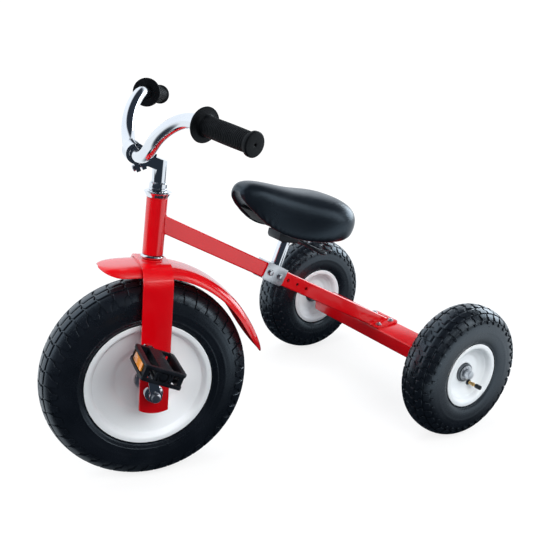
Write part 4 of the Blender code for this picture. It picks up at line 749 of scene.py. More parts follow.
frontRim = {
    "lip": 111.2, "half": 38.0, "seat": 101.2, "dish": 64.0, "depth": 24.0, "bore": 20.3,
    "sheet": 2.4, "steps": 144,
}
rearRim = {
    "lip": 63.4, "half": 32.9, "seat": 54.2, "dish": 43.0, "depth": 20.0, "bore": 18.3,
    "sheet": 2.4, "steps": 112,
}
axle = {
    "front": 7.0, "frontHalf": 88.2, "rear": 7.9, "rearOut": 32.0, "rearBore": 8.2,
    "washer": (15.0, 2.0), "pinGap": 1.9, "pinWire": 0.62,  # washer: radius and thickness
}
hub = {"front": 13.0, "frontEnd": 55.0, "frontFlange": 20.0, "rear": 12.0, "rearFlange": 18.0, "gap": 0.6}
valve = {
    "stem": 3.1, "length": 24.0, "cap": 4.3, "capLength": 12.0, "grommet": 6.4, "ribs": 14,
    "frontOut": 38.0, "rearOut": 30.5,  # from the wheel's axis
}


def rimProfile(rim):
    lip, edge, seat, dish, bore, sheet = (rim[word] for word in ("lip", "half", "seat", "dish", "bore", "sheet"))
    face = edge - rim["depth"]
    half = [(seat, edge - 5), (seat + 3, edge - sheet - 0.4), (lip - 0.8, edge - sheet), (lip, edge - 1.2),
            (lip - 0.8, edge), (seat + 1, edge - 0.4), (seat - 3, edge - 5), (seat - 5, edge - 10),
            (seat - 6.5, edge - 11), (dish + 1, face + 5), (dish - 8, face), (bore + 6, face),
            (bore + 1, face + 0.6), (bore, face - 0.6), (bore, face - sheet), (dish - 7, face - sheet),
            (seat - 2 * sheet, edge - 14)]
    soft = softenCorners(half, 2.6, 4, closed=False)
    return soft + bothEnds(soft)


def addValve(word, body, node, place, seat):
    thin, wide, ring = valve["stem"], valve["cap"], valve["grommet"]
    top = seat + valve["length"]
    stem = [(0, top), (thin - 0.6, top), (thin - 0.4, seat + 15), (thin + 0.7, seat + 14),
            (thin + 0.7, seat + 11.5), (thin, seat + 11), (thin, seat + 5), (thin + 0.5, seat), (0, seat)]
    addPiece((node,), turned(stem, 0.3, 2, 28), "brass", body, place, name="valveStem" + word)
    high = top + 0.6 * valve["capLength"]
    low = high - valve["capLength"]

    def capShape(shape):
        profile = [(0, high), (wide - 0.3, high), (wide, high - 2), (wide, low + 1), (wide - 0.4, low), (0, low)]
        spinInto(shape, softenCorners(profile, 0.5, 2, False), valve["ribs"] * 4)
        for vertex in shape.verts:
            turn = math.atan2(vertex.co.y, vertex.co.x)
            if low + 0.8 < vertex.co.z / mm < high - 1.5:
                shrink = 1 - 0.05 * (0.5 - 0.5 * math.cos(turn * valve["ribs"]))
                vertex.co.x *= shrink
                vertex.co.y *= shrink
    addPiece((), meshFrom(capShape), "black_plastic", body, place, name="valveCap" + word)
    grommet = [(thin, seat + 3), (ring - 1.5, seat + 2.6), (ring, seat + 0.2), (ring, seat - 0.2),
               (thin, seat - 0.2)]
    addPiece((), turned(grommet, 0.5, 3, 36), "tyre_rubber", body, place, name="valveGrommet" + word)


def addTyreAndRim(start, end, tyre, blocks, rim, body, place):
    addPiece((start + "_tyre" + end,), tyreMesh(tyre, blocks), "tyre_rubber", body, place, 40)
    addPiece((start + "_rim" + end,), turned(rimProfile(rim), steps=rim["steps"]), "white_paint", body, place)
    return rim["half"] - rim["depth"]


def addFrontWheel():
    body, place = "front_wheel", axlePlace @ layAcross
    face = addTyreAndRim("front", "", frontTyre, frontBlocks, frontRim, body, place)
    half = [(axle["front"] + gap, hub["frontEnd"]), (hub["front"], hub["frontEnd"]), (hub["front"], face + 7),
            (hub["frontFlange"], face + 4)]
    addPiece(("front_hub",), turned(half + bothEnds(half), 0.7), "zinc", body, place)
    pin = pinProfile(axle["front"], axle["frontHalf"], -axle["frontHalf"])
    addPiece(("front_axle",), turned(pin, 0.8, 2, 40), "zinc", body, place)
    valvePlace = axlePlace @ shift(0, 0, valve["frontOut"]) @ outward(-1)
    addValve("Front", body, "front_valve", valvePlace, face + gap)


def addRearWheel(side, word):
    body = "rear_wheel_" + word
    middle = beamPlace @ shift(side * stance["rearTrack"] / 2)
    place = middle @ outward(side)
    face = addTyreAndRim("rear", "_" + word, rearTyre, rearBlocks, rearRim, body, place)
    inner = (stance["rearTrack"] - stance["beamLength"]) / 2 - hub["gap"]
    flange, barrel, bore = hub["rearFlange"], hub["rear"], axle["rearBore"]
    profile = [(flange, flange), (flange, -face - 4), (barrel, -face - 7), (barrel, -inner), (bore, -inner),
               (bore, flange - 2), (barrel + 0.5, flange - 2), (barrel + 1.5, flange)]
    addPiece(("rear_hub_" + word,), turned(profile, 0.7), "dark_steel", body, place)
    out = valve["rearOut"]
    valvePlace = middle @ shift(0, 0.5 * out, -0.85 * out) @ outward(side)
    addValve("Rear" + word.capitalize(), body, "rear_valve_" + word, valvePlace, face + gap)


addFrontWheel()
for side, word in bothSides:
    addRearWheel(side, word)
print("wheels made")


# Fork and mudguard

fork = {
    "width": 50.2, "strap": 5.0, "half": 62.5, "shoulder": 38.0, "crown": 214.5, "drop": 36.0, "bulge": 6.0,
    "lean": math.radians(2.4), "edge": 1.6, "steerer": (12.7, 11.2),
}


def forkLine(offset):
    half, top, radius = (fork[word] - offset for word in ("half", "crown", "shoulder"))
    shoulder = arcPoints((half - radius, top - radius), radius, 0, 90, 18)
    return [(half, -fork["drop"] - fork["bulge"] - 4)] + shoulder


def bladeTrim():
    half, drop, bulge = fork["width"] / 2, fork["drop"], fork["bulge"]
    radius = (half ** 2 + bulge ** 2) / (2 * bulge)
    middle = (fork["crown"] - fork["shoulder"] + drop) * math.tan(fork["lean"])
    spread = math.degrees(math.asin(half / radius)) + 4
    edge = arcPoints((middle, radius - drop - bulge), radius, 270 - spread, 270 + spread, 28)
    return ([(middle - 60, -drop - 40), (middle - 60, -drop)] + edge
            + [(middle + 60, -drop), (middle + 60, -drop - 40)])


def addFork():
    outer, inner = forkLine(0), forkLine(fork["strap"])
    outline = outer + mirrored(outer) + [(-x, z) for x, z in inner] + list(reversed(inner))
    strap = slabMesh([outline], fork["width"])
    top = (fork["crown"] - fork["shoulder"]) * mm
    for vertex in strap.vertices:
        vertex.co.z -= max(0.0, top - vertex.co.y) * math.tan(fork["lean"])
    trim = moved(slabMesh([bladeTrim()], 4 * fork["half"]), standSideways)
    strap = easeEdges(carved(moved(strap, standUp), [trim]), fork["edge"], 3, 60)
    steerer = moved(turned(ringProfile(*fork["steerer"], 60, -60), steps=48), shift(0, 0, fork["crown"] + 56))
    race = turned([(12.8, 1.3), (18, 1), (19, -0.5), (12.8, -0.5)], 0.4)
    parts = [strap, steerer, moved(race, shift(0, 0, fork["crown"]))]
    addPiece(("fork",), mergeMeshes(parts), "red_paint", "steering", steeringPlace, 40)


guard = {
    "radius": 209.0, "half": 43.0, "skirt": 15.0, "sheet": 1.5, "front": math.radians(-24.2),
    "rear": math.radians(78.0), "frontRound": 42.0, "rearRound": 75.0, "rise": 12.0,
}


def guardWidth(along, length):
    front = min(1.0, along / guard["frontRound"])
    rear = min(1.0, (length - along) / guard["rearRound"])
    ends = math.sqrt(max(0.0, 1 - (1 - front) ** 2.8)) * math.sqrt(max(0.0, 1 - (1 - rear) ** 2.2))
    return guard["half"] * max(0.16, ends)


def addGuard():
    spread = guard["rear"] - guard["front"]
    length = guard["radius"] * spread
    front, rear = guard["frontRound"], guard["rearRound"]
    stations = [front * (1 - math.cos(math.radians(a))) for a in range(0, 86, 6)]
    stations += [front + (length - front - rear) * i / 40 for i in range(41)]
    stations += [length - rear * (1 - math.cos(math.radians(a))) for a in range(84, -1, -6)]
    across = [-1 + 2 * i / 24 for i in range(25)]

    def build(shape):
        rows = []
        for along in stations:
            share = along / length
            angle = guard["front"] + spread * share
            width = guardWidth(along, length)
            fullness = (width / guard["half"]) ** 1.5
            rise = guard["rise"] * (max(0.0, 0.22 - share) / 0.22) ** 2
            rise += guard["rise"] * 0.7 * (max(0.0, share - 0.75) / 0.25) ** 2
            row = []
            for place in across:
                skirt = 0.12 * abs(place) ** 2 + 0.88 * abs(place) ** 6.5
                radius = guard["radius"] + rise - guard["skirt"] * skirt * fullness
                offset = width * math.copysign(abs(place) ** 0.9, place)
                row.append(addVert(shape, offset, radius * math.sin(angle), radius * math.cos(angle)))
            rows.append(row)
        joinRows(shape, rows)
    sheet = easeEdges(thickSheet(meshFrom(build), guard["sheet"], 1), 0.4, 2, 50)
    addPiece(("mudguard",), sheet, "red_paint", "steering", steeringPlace, 50)


addFork()
addGuard()


# Headset, stem and handlebar

headset = {
    "start": 224.0, "length": 96.5, "radius": 17.6, "bore": 15.0, "lower": 20.0, "upper": 23.2,
    "upperHeight": 12.0, "nut": 14.6, "nutHeight": 13.0, "neck": 14.7, "neckBore": 13.0,
}


def addHeadset():
    start, radius, neck, bore = headset["start"], headset["radius"], headset["neck"], headset["neckBore"]
    lower, upper, nut = headset["lower"], headset["upper"], headset["nut"]
    top = start + headset["length"]
    cupTop = top + headset["upperHeight"]
    shell = turned(ringProfile(radius, headset["bore"], top, start), 0.6, 3, 96)
    addPiece(("head_tube",), shell, "red_paint", "frame", headPlace)
    cup = [(radius, start - gap), (lower, start - 2.5), (lower, start - 5), (lower - 4, start - 8),
           (bore, start - 8), (bore, start + 6), (neck, start + 6), (neck, start - gap)]
    addPiece(("lower_headset_cup",), turned(cup, 1.1, 4, 96), "chrome", "frame", headPlace, name="lowerCup")
    cup = [(nut, cupTop), (upper - 2, cupTop - 1), (upper, cupTop - 2.6), (upper - 1.6, cupTop - 4.4),
           (radius + 1.6, top + 3.4), (radius, top + gap), (neck, top + gap), (neck, top - 6), (bore, top - 6),
           (bore, cupTop)]
    addPiece(("upper_headset_cup",), turned(cup, 1.0, 4, 96), "chrome", "frame", headPlace, name="upperCup")
    low = cupTop + gap
    high = low + headset["nutHeight"]
    ring = [(nut - 1.5, high), (nut, high - 1.5), (nut + 0.4, low + 4.5), (nut - 0.8, low + 4),
            (nut + 0.8, low + 3.4), (nut + 0.8, low), (bore, low), (bore, high - 2), (11.4, high - 2),
            (11.4, high)]
    addPiece(("headset_locknut",), turned(ring, 0.5, 3, 96), "chrome", "steering", steeringPlace, name="locknut")


barRadius = 11.1
stem = {
    "radius": 11.1, "top": 388.0, "fall": 7.0, "reach": 43.6, "barHeight": 392.5, "wall": 5.5, "width": 40.0,
    "slit": 3.0, "turn": math.radians(25.0), "lug": (22.0, 17.0, 17.0), "bolt": 3.0,
}
clampPlace = shift(0, -stem["reach"], stem["barHeight"]) @ turnX(stem["turn"])


def addStem():
    top, radius, reach, height = stem["top"], stem["radius"], stem["reach"], stem["barHeight"]
    eye = barRadius + stem["wall"]
    drop = -eye - 8
    headTop = headset["start"] + headset["length"]
    foot = headTop - 40
    shoulder = headTop + headset["upperHeight"] + headset["nutHeight"] + 1
    quill = moved(rodMesh(radius - 0.3, top - foot), shift(0, 0, (foot + top) / 2))
    side = [(0, top + 1), (-reach, height + eye - 4), (-reach, height - eye + 3), (0, top - 23)]
    added = [
        moved(rodMesh(radius + 0.6, top - shoulder), shift(0, 0, (top + shoulder) / 2)),
        moved(slabMesh([side], 2 * radius - 2), standSideways),
        moved(rodMesh(eye, stem["width"]), clampPlace @ layAcross),
        moved(blockMesh(stem["lug"]), clampPlace @ shift(0, 0, -eye - 5.5)),
    ]
    fall = turnX(-math.atan2(stem["fall"], 2 * radius))
    trimAt = Vector((0, 0, top - stem["fall"] / 2)) + fall @ Vector((0, 20, 10))
    cutters = [
        moved(rodMesh(barRadius + gap, 80), clampPlace @ layAcross),
        moved(blockMesh((80, stem["slit"], 30)), clampPlace @ shift(0, 0, drop)),
        moved(rodMesh(stem["bolt"] + gap, 60, 24), clampPlace @ shift(0, 0, drop) @ standUp),
        moved(rodMesh(6.4, 16, 32), clampPlace @ shift(0, 16.5, drop) @ standUp),
        moved(blockMesh((80, 60, 20)), shift(*trimAt) @ fall),
    ]
    body = carved(carved(quill, added, "UNION"), cutters)
    addPiece(("stem",), easeEdges(body, 0.5, 2, 38), "chrome", "steering", stemPlace, 50)
    thick, seat = stem["bolt"], 8.8
    bolt = [(0, seat + 3.8), (thick + 1.4, seat + 3.8), (thick + 2.4, seat + 2.8), (thick + 2.4, seat),
            (thick, seat), (thick, -seat), (0, -seat)]
    nut = ringProfile(thick + 2.8, thick, -seat, -seat - 5)
    tip = [(thick, -seat), (thick, -seat - 4.4), (0, -seat - 4.6), (0, -seat)]
    parts = [turned(bolt, 0.3, 2, 40), easeEdges(turned(nut, steps=6), 0.5), turned(tip, steps=24)]
    place = stemPlace @ clampPlace @ shift(0, 0, drop) @ standUp
    addPiece(("bar_clamp_bolt",), mergeMeshes(parts), "zinc", "steering", place, name="clampBolt")


bar = {
    "bends": ((22.0, 0.0, 0.0), (38.0, 0.0, 0.0), (56.0, 1.5, 2.0), (88.7, 4.0, 13.4), (118.0, 7.7, 42.5),
              (150.8, 23.9, 68.1), (177.9, 39.9, 79.8)),  # out, back and up from the clamp
    "gripStart": (204.5, 53.4, 77.0), "sweep": math.radians(26.7), "droop": math.radians(5.4),
}
grip = {
    "length": 104.0, "radius": 14.7, "flange": 26.0, "flangeThickness": 4.5, "end": 18.0, "endThickness": 7.0,
    "ribPitch": 3.3, "ribDepth": 0.7, "swell": 0.5, "hole": 1.8,
}


def addBar():
    start = Vector(bar["gripStart"])
    level = math.cos(bar["droop"])
    along = Vector((level * math.cos(bar["sweep"]), level * math.sin(bar["sweep"]), -math.sin(bar["droop"])))
    bends = [Vector(point) for point in bar["bends"]]
    bends += [start, start + along * 40, start + along * (grip["length"] - 5)]
    place = stemPlace @ shift(0, -stem["reach"], stem["barHeight"])
    bent = sweptMesh(mirrored(bends) + bends, barRadius, sides=12, resolution=14)
    addPiece(("handlebar",), bent, "chrome", "steering", place)
    for side, word in bothSides:
        heading = Vector((side * along.x, along.y, along.z))
        turn = heading.to_track_quat("Z", "Y").to_matrix().to_4x4()
        addGrip(word, place @ shift(side * start.x, start.y, start.z) @ turn)


def addGrip(word, place):
    length, radius, flange = grip["length"], grip["radius"], grip["flange"]
    thick, end, hole, pitch = grip["flangeThickness"], grip["end"], grip["hole"], grip["ribPitch"]
    neck = length - grip["endThickness"]
    profile = [(hole, length - 3), (hole, length - 0.6), (hole + 0.8, length), (6, length + 0.1),
               (end - 1.6, length), (end, length - 1.6), (end, neck + 1), (end - 1, neck), (radius + 1, neck - 1)]
    ribStart = neck - 2.5
    ribs = int((ribStart - thick - 3) / pitch)
    for index in range(ribs):
        at = ribStart - index * pitch
        crest = radius + grip["swell"] * math.sin(math.pi * index / ribs)
        valley = crest - grip["ribDepth"]
        profile += [(crest, at - 0.4), (crest, at - 2), (valley, at - 2.4), (valley, at - 3)]
    inside = barRadius + gap
    profile += [(radius, thick + 2.4), (radius + 2.5, thick + 0.4), (flange - 3, thick - 0.4),
                (flange - 0.6, thick - 0.2), (flange, thick / 2), (flange - 0.8, 0.2), (flange - 4, 0),
                (inside, 0), (inside, length - 4), (hole, length - 4)]
    addPiece(("grip_" + word,), turned(profile, 0.5, 2, 96), "grip_rubber", "steering", place, 50)


addHeadset()
addStem()
addBar()
print("steering made")


# Bearing cups, cranks and pedals

crank = {
    "inner": 76.1, "thickness": 12.0, "eye": 11.0, "bolt": 8.4, "boltHeight": 7.0, "clearance": 19.0,
    "spindle": 5.5, "collar": 8.0,
}
pedal = {
    "width": 88.0, "length": 68.6, "thickness": 26.0, "plate": 5.0, "rail": 8.0, "endWall": 6.0, "barrel": 11.0,
    "reflector": (50.0, 13.0, 2.4), "cleat": (3.2, 5.0, 2.0), "cleatHeight": 1.2,
}


def addCup(side, word):
    face = fork["half"] + gap
    bore = axle["front"] + gap
    profile = [(11.4, face + 13), (12.2, face + 13), (15.7, face + 11), (17.2, face + 4), (17.2, face),
               (10.5, face), (10.5, face - 7.3), (bore, face - 7.3), (bore, face + 12), (11, face + 12)]
    cup = turned(profile, 0.8, 3, 72)
    addPiece(("bearing_cup_" + word,), cup, "chrome", "steering", axlePlace @ outward(side))


def addCrank(side, word):
    body = "front_wheel"
    lean = stance["crankLean"] + (0 if side == 1 else math.pi)
    hanger = axlePlace @ turnX(lean)
    inner, thick, length, eye = crank["inner"], crank["thickness"], stance["crankLength"], crank["eye"]
    face = inner + thick
    outline = arcPoints((0, 0), eye, 142, 398, 28) + arcPoints((0, length), eye - 1.5, -40, 220, 24)
    holes = [roundPoints((0, 0), axle["front"] + gap), roundPoints((0, length), crank["spindle"] + gap)]
    arm = easeEdges(slabMesh([outline] + holes, thick), 1.8, 4, 50)
    middle = hanger @ shift(side * (inner + thick / 2))
    addPiece(("crank_" + word,), arm, "chrome", body, middle @ standSideways, 40)
    high, radius = crank["boltHeight"], crank["bolt"]
    dome = [(0, high), (radius - 2.4, high - 0.2), (radius - 0.4, high - 1.8), (radius - 0.4, 2), (0, 2)]
    bolt = mergeMeshes([turned(dome, 0.8, 4, 48), turned(pinProfile(radius, 2.2, 0), 0.5, 3, 48)])
    addPiece(("crank_bolt_" + word,), bolt, "zinc", body, hanger @ shift(side * (face + gap)) @ outward(side))
    start = face + crank["clearance"]
    end = start + pedal["width"] - 8
    thin, wide = crank["spindle"], crank["collar"]
    profile = [(0, end), (thin, end), (thin, start - 3), (wide, start - 3), (wide, face + 6), (wide - 1, face + 5),
               (wide, face + 4), (wide, face + gap), (thin, face + gap), (thin, inner + 1), (0, inner + 1)]
    addPiece(("pedal_spindle_" + word,), turned(profile, 0.5, 2, 48), "dark_steel", body,
             hanger @ shift(0, 0, length) @ outward(side), name=camel("spindle_" + word))
    place = hanger @ shift(side * (start + pedal["width"] / 2), 0, length)
    addPedal(side, word, place @ turnX(stance["pedalPitch"] - lean))


def pedalPlate(level):
    width, length, plate = pedal["width"], pedal["length"], pedal["plate"]
    window = length / 2 - pedal["barrel"] - pedal["rail"]
    outlines = [roundOblong(width, length, 7, 6)]
    for end in (1, -1):
        hole = roundOblong(width - 2 * pedal["endWall"], window, 3, 4)
        outlines.append([(x, y + end * (pedal["barrel"] + window / 2)) for x, y in hole])
    made = easeEdges(slabMesh(outlines, plate), 0.9, 2, 50)
    return moved(made, shift(0, 0, level * (pedal["thickness"] - plate) / 2))


def pedalCleats():
    cleats = []
    height = pedal["thickness"] / 2 + pedal["cleatHeight"] - 2
    edge = pedal["length"] / 2 - 4
    for level in (1, -1):
        for y, count, span in ((edge, 11, 66.0), (-edge, 11, 66.0), (6.0, 9, 60.0), (-6.0, 9, 60.0)):
            for index in range(count):
                x = (index / (count - 1) - 0.5) * span
                cleat = easeEdges(blockMesh(pedal["cleat"]), 0.5, 1)
                cleats.append(moved(cleat, shift(x, y, level * height)))
    return cleats


def addPedal(side, word, place):
    body = "pedal_" + word + "_body"
    half, reach, thick = pedal["width"] / 2, pedal["length"] / 2, pedal["thickness"]
    inside = thick - 2 * pedal["plate"] + 1
    bore = crank["spindle"] + gap
    parts = [pedalPlate(1), pedalPlate(-1)] + pedalCleats()
    barrel = [(bore, half - 9), (8.2, half - 9), (8.6, half - 1), (10.6, half - 1), (10.9, 1 - half),
              (bore, 1 - half)]
    cap = [(0, half - 3), (5, half - 3.4), (8.6, half - 5), (8.6, half - 7.5), (0, half - 7.5)]
    parts += [moved(turned(barrel, 0.5, 2, 48), outward(side)), moved(turned(cap, 0.5, 2, 40), outward(side))]
    walls = []
    for end in (1, -1):
        walls += [((2 * half - 18, 3, inside), (0, end * (reach - 5), 0)),
                  ((3, 7, inside), (half - 5, end * (reach - 6), 0)),
                  ((3, 7, inside), (5 - half, end * (reach - 6), 0)),
                  ((pedal["endWall"], 3, inside), (side * (half - 4), end * 12.5, 0)),
                  ((pedal["endWall"] - 1, 20, inside), (-side * (half - 4), end * 11, 0))]
        walls += [((2.2, 14, 6), (x, end * (reach - 12), 5 - thick / 2)) for x in (-22, 0, 22)]
    parts += [moved(easeEdges(blockMesh(size), 0.4, 1), shift(*at)) for size, at in walls]
    addPiece(("pedal_" + word,), mergeMeshes(parts), "black_plastic", body, place, 40)
    wide, high, deep = pedal["reflector"]
    for end, where in ((-1, "front"), (1, "rear")):
        lens = easeEdges(slabMesh([roundOblong(wide, high, 1.2, 4)], deep), 0.5)
        addPiece(("pedal_reflector_" + where + "_" + word,), lens, "amber_plastic", body,
                 place @ shift(0, end * (reach - 1.8), 0) @ standUp, name=camel("reflector_" + where + "_" + word))


for side, word in bothSides:
    addCup(side, word)
    addCrank(side, word)
print("pedals made")


# Frame: main tube, rear beam, flange, axle

tube = {
    "size": 28.6, "wall": 1.8, "slope": math.radians(31.8), "atAxle": 145.4, "corner": 2.6, "length": 700.0,
    "foot": 80.0, "pitch": 25.3, "hole": 3.2, "holes": 5, "firstHole": 337.0, "weld": 2.1,
}
beam = {
    "depth": 56.0, "height": 30.4, "corner": 2.6, "flange": (72.0, 60.0, 3.5), "boltAt": (25.0, 17.0), "bolt": 5.0,
    "boltSeat": 4.1, "boltEnd": -9.0,
}
beamTop = stance["rearAxleHeight"] + beam["height"] / 2
flangeTop = beamTop + gap + beam["flange"][2]
tubeUp = Vector((0, math.sin(tube["slope"]), math.cos(tube["slope"])))
tubeAlong = Vector((0, -math.cos(tube["slope"]), math.sin(tube["slope"])))


def tubePoint(along):
    slope = tube["slope"]
    return (0.0, stance["wheelbase"] - along * math.cos(slope), tube["atAxle"] + along * math.sin(slope))


def holePoint(index):
    return tubePoint(tube["firstHole"] - index * tube["pitch"])


def addTube():
    size, inside, length = tube["size"], tube["size"] - 2 * tube["wall"], tube["length"]
    shell = slabMesh([roundOblong(size, size, tube["corner"], 5), roundOblong(inside, inside, 1, 3)], length)
    place = shift(*tubePoint(length / 2 - tube["foot"])) @ turnX(-tube["slope"])
    middle = headset["start"] + headset["length"] / 2
    cutters = [
        moved(rodMesh(headset["radius"] + gap, 160, 96), headPlace @ shift(0, 0, middle)),
        moved(blockMesh((80, 200, 400)), headPlace @ shift(0, -100, middle)),
        moved(blockMesh((80, 400, 200)), shift(0, stance["wheelbase"], flangeTop + gap - 100)),
    ]
    for index in range(tube["holes"]):
        cutters.append(moved(rodMesh(tube["hole"], 60, 32), shift(*holePoint(index)) @ layAcross))
    parts = [carved(moved(shell, place @ standUp), cutters), footWeld(), headWeld()]
    addPiece(("main_tube",), mergeMeshes(parts), "red_paint", "frame", None, 30)


def weldMesh(path, seed):
    points = []
    for index, point in enumerate(path):
        wobble = noise.noise(Vector((index * 0.9, seed, 0))) * tube["weld"] * 0.25
        points.append(point + Vector((0, 0, wobble)))
    return sweptMesh(points, tube["weld"], "NURBS", 4, 3, True)


def footWeld():
    half = tube["size"] / 2 + 0.4
    reach = tube["size"] / 2 / math.sin(tube["slope"])
    middle = stance["wheelbase"] + (tube["atAxle"] - flangeTop) / math.tan(tube["slope"])
    corners = [(half, -reach), (half, reach), (-half, reach), (-half, -reach)]
    path = []
    for index, (x, y) in enumerate(corners):
        nextX, nextY = corners[(index + 1) % 4]
        count = 14 if index % 2 == 0 else 8
        for step in range(count):
            share = step / count
            path.append(Vector((x + (nextX - x) * share, middle + y + (nextY - y) * share, flangeTop + 0.5)))
    return weldMesh(path, 1)


def headWeld():
    place = headPlace.copy()
    place.translation /= mm
    inverse = place.inverted()
    radius = headset["radius"] - 0.4
    half = tube["size"] / 2
    broad, short = (-1, -0.7, -0.35, 0, 0.35, 0.7, 1), (-0.6, -0.2, 0.2, 0.6)
    outline = [(half * s, half) for s in broad] + [(half, -half * s) for s in short]
    outline += [(-half * s, -half) for s in broad] + [(-half, half * s) for s in short]
    path = []
    for x, z in outline:
        start = inverse @ (Vector(tubePoint(300)) + Vector((x, 0, 0)) + tubeUp * z)
        way = inverse.to_3x3() @ tubeAlong
        wanted = math.sqrt(radius ** 2 - min(x ** 2, radius ** 2 * 0.9))
        path.append(place @ (start + way * ((wanted - start.y) / way.y)))
    return weldMesh(path, 5)


def domedBolt():
    seat, radius = beam["boltSeat"], beam["bolt"]
    dome = [(0, seat + 4.9), (radius * 0.45, seat + 4.8), (radius * 0.55, seat + 3.8), (0, seat + 3.8)]
    return mergeMeshes([
        easeEdges(turned(pinProfile(radius, seat + 4.2, seat + 1.4), steps=6), 0.7, 3),
        turned(dome, 0.6, 3, 32),
        turned(pinProfile(radius + 1.2, seat + 1.5, seat), 0.4, 2, 40),
        turned(pinProfile(3, seat, beam["boltEnd"]), steps=24),
    ])


def addBeam():
    length, (wide, deep, thick), (boltX, boltY) = stance["beamLength"], beam["flange"], beam["boltAt"]
    box = slabMesh([roundOblong(beam["depth"], beam["height"], beam["corner"], 5)], length)
    box = carved(easeEdges(box, 0.6, 2, 50), [rodMesh(axle["rearBore"], 2 * length, 48)])
    addPiece(("axle_beam",), box, "red_paint", "frame", beamPlace @ standSideways, 30)
    plate = easeEdges(slabMesh([roundOblong(wide, deep, 6, 8)], thick), 0.9, 3, 50)
    addPiece(("axle_flange",), plate, "red_paint", "frame", shift(0, stance["wheelbase"], flangeTop - thick / 2))
    for side, word in bothSides:
        for end, where in ((-1, "front"), (1, "rear")):
            place = shift(side * boltX, stance["wheelbase"] + end * boltY, beamTop) @ turnZ(0.4 * end + side)
            addPiece(("flange_bolt_" + where + "_" + word,), domedBolt(), "zinc", "frame", place)


def addRearAxle():
    middle = stance["rearTrack"] / 2
    broad, thick = axle["washer"]
    half, washerAt = middle + axle["rearOut"], middle + hub["rearFlange"] + gap
    pinAt = washerAt + thick + axle["pinGap"]
    shaft = turned(pinProfile(axle["rear"], half, -half), 1.4, 3, 56)
    addPiece(("rear_axle",), shaft, "zinc", "frame", beamPlace @ layAcross)
    washer = ringProfile(broad, axle["rearBore"], washerAt + thick, washerAt)
    path = [(0, 2.2, -13.4), (0, 0.75, -8), (0, 0.65, 8)]
    path += [(0, y, z) for y, z in arcPoints((0, 12.1), 2.5, -70, 250, 14)]
    path += [(0, -0.65, 8), (0, -0.75, -8), (0, -2.4, -12.2)]
    for side, word in bothSides:
        addPiece(("axle_washer_" + word,), turned(washer, 0.5, 3), "zinc", "frame", beamPlace @ outward(side))
        pin = sweptMesh(path, axle["pinWire"], "NURBS", 4, 4)
        addPiece(("cotter_pin_" + word,), pin, "zinc", "frame", beamPlace @ shift(side * pinAt))


addTube()
addBeam()
addRearAxle()
print("frame made")


# Seat: bracket, post, clamp, springs and saddle

bracket = {
    "length": 50.0, "wall": 2.6, "drop": 34.0, "corner": 6.0, "postRadius": 11.0, "postLength": 58.0,
    "postLean": math.radians(24.0), "setBack": 6.0, "bolt": 2.7,
}
bracketMiddle = tubePoint(tube["firstHole"] - tube["pitch"] / 2)
bracketTop = tube["size"] / 2 + gap + bracket["wall"]
bracketFace = Vector(bracketMiddle) + tubeUp * (bracketTop + gap)
postFoot = bracketFace - tubeAlong * bracket["setBack"]
postUp = Vector((0, math.sin(bracket["postLean"]), math.cos(bracket["postLean"])))


def addBracket():
    inside = tube["size"] + 2 * gap
    outside = inside + 2 * bracket["wall"]
    lean = shift(*bracketMiddle) @ turnX(-tube["slope"])
    radius, half, drop = bracket["corner"], bracket["length"] / 2, bracket["drop"]
    low = bracketTop - drop
    cheek = [(half, bracketTop), (-half, bracketTop)]
    cheek += arcPoints((radius - half, low + radius), radius, 180, 270, 8)
    cheek += arcPoints((half - radius, low + radius), radius, 270, 360, 8)
    solid = moved(slabMesh([cheek], outside), lean @ standSideways)
    channel = moved(blockMesh((inside, 2 * bracket["length"], drop)),
                    lean @ shift(0, 0, bracketTop - bracket["wall"] - drop / 2))
    addPiece(("seat_bracket",), easeEdges(carved(solid, [channel]), 0.9, 3, 40), "zinc", "frame", None, 40)
    face, thin = outside / 2 + gap, bracket["bolt"]
    for index, where in ((0, "front"), (1, "rear")):
        head = easeEdges(turned(pinProfile(2 * thin, 4.6, 1), steps=6), 0.6, 3)
        head = mergeMeshes([head, turned(pinProfile(5.9, 1.2, 0), 0.4, 2, 40)])
        nut = easeEdges(turned(ringProfile(5.6, thin, 0, -5), steps=6), 0.6, 2)
        parts = [moved(head, shift(0, 0, face) @ turnZ(0.3 + index)),
                 turned(pinProfile(thin, face, -face - 9), 0.5, 2, 24),
                 moved(nut, shift(0, 0, -face) @ turnZ(0.8 * index))]
        place = shift(*holePoint(index)) @ layAcross
        addPiece(("seat_bolt_" + where,), mergeMeshes(parts), "zinc", "frame", place)


def addPost():
    radius = bracket["postRadius"]
    pipe = turned(ringProfile(radius, radius - 2, bracket["postLength"], 0), 0.6, 2, 72)
    pipe = moved(pipe, shift(*(postFoot - postUp * 4)) @ turnX(-bracket["postLean"]))
    trim = moved(blockMesh((60, 80, 40)), shift(*(bracketFace - tubeUp * 20)) @ turnX(-tube["slope"]))
    addPiece(("seat_post",), carved(pipe, [trim]), "chrome", "frame", None, 40)


saddle = {
    # stations along the saddle: position, half width, top, bottom
    "stations": ((-128, 15, 77, 62), (-118, 29, 88, 52), (-94, 38, 93, 35), (-58, 46, 92.5, 15),
                 (-15, 58, 90.5, 6), (28, 74, 93, 8), (68, 83, 94.5, 15), (97, 76, 89, 24), (116, 54, 76, 40)),
    "recess": 9.0, "pucker": 0.7, "puckers": 46, "fill": 0.8,
    "underFrom": 5,  # place in the section where the underside starts
}


def sectionPoints(half, top, bottom):
    rise, under = top - bottom, bottom + saddle["recess"]
    return ((0.0, top), (0.42 * half, top - 0.01 * rise), (0.80 * half, top - 0.12 * rise),
            (1.02 * half, top - 0.42 * rise), (1.02 * half, bottom + 0.20 * rise), (0.93 * half, bottom),
            (0.80 * half, bottom + 1), (0.70 * half, under), (0.0, under))


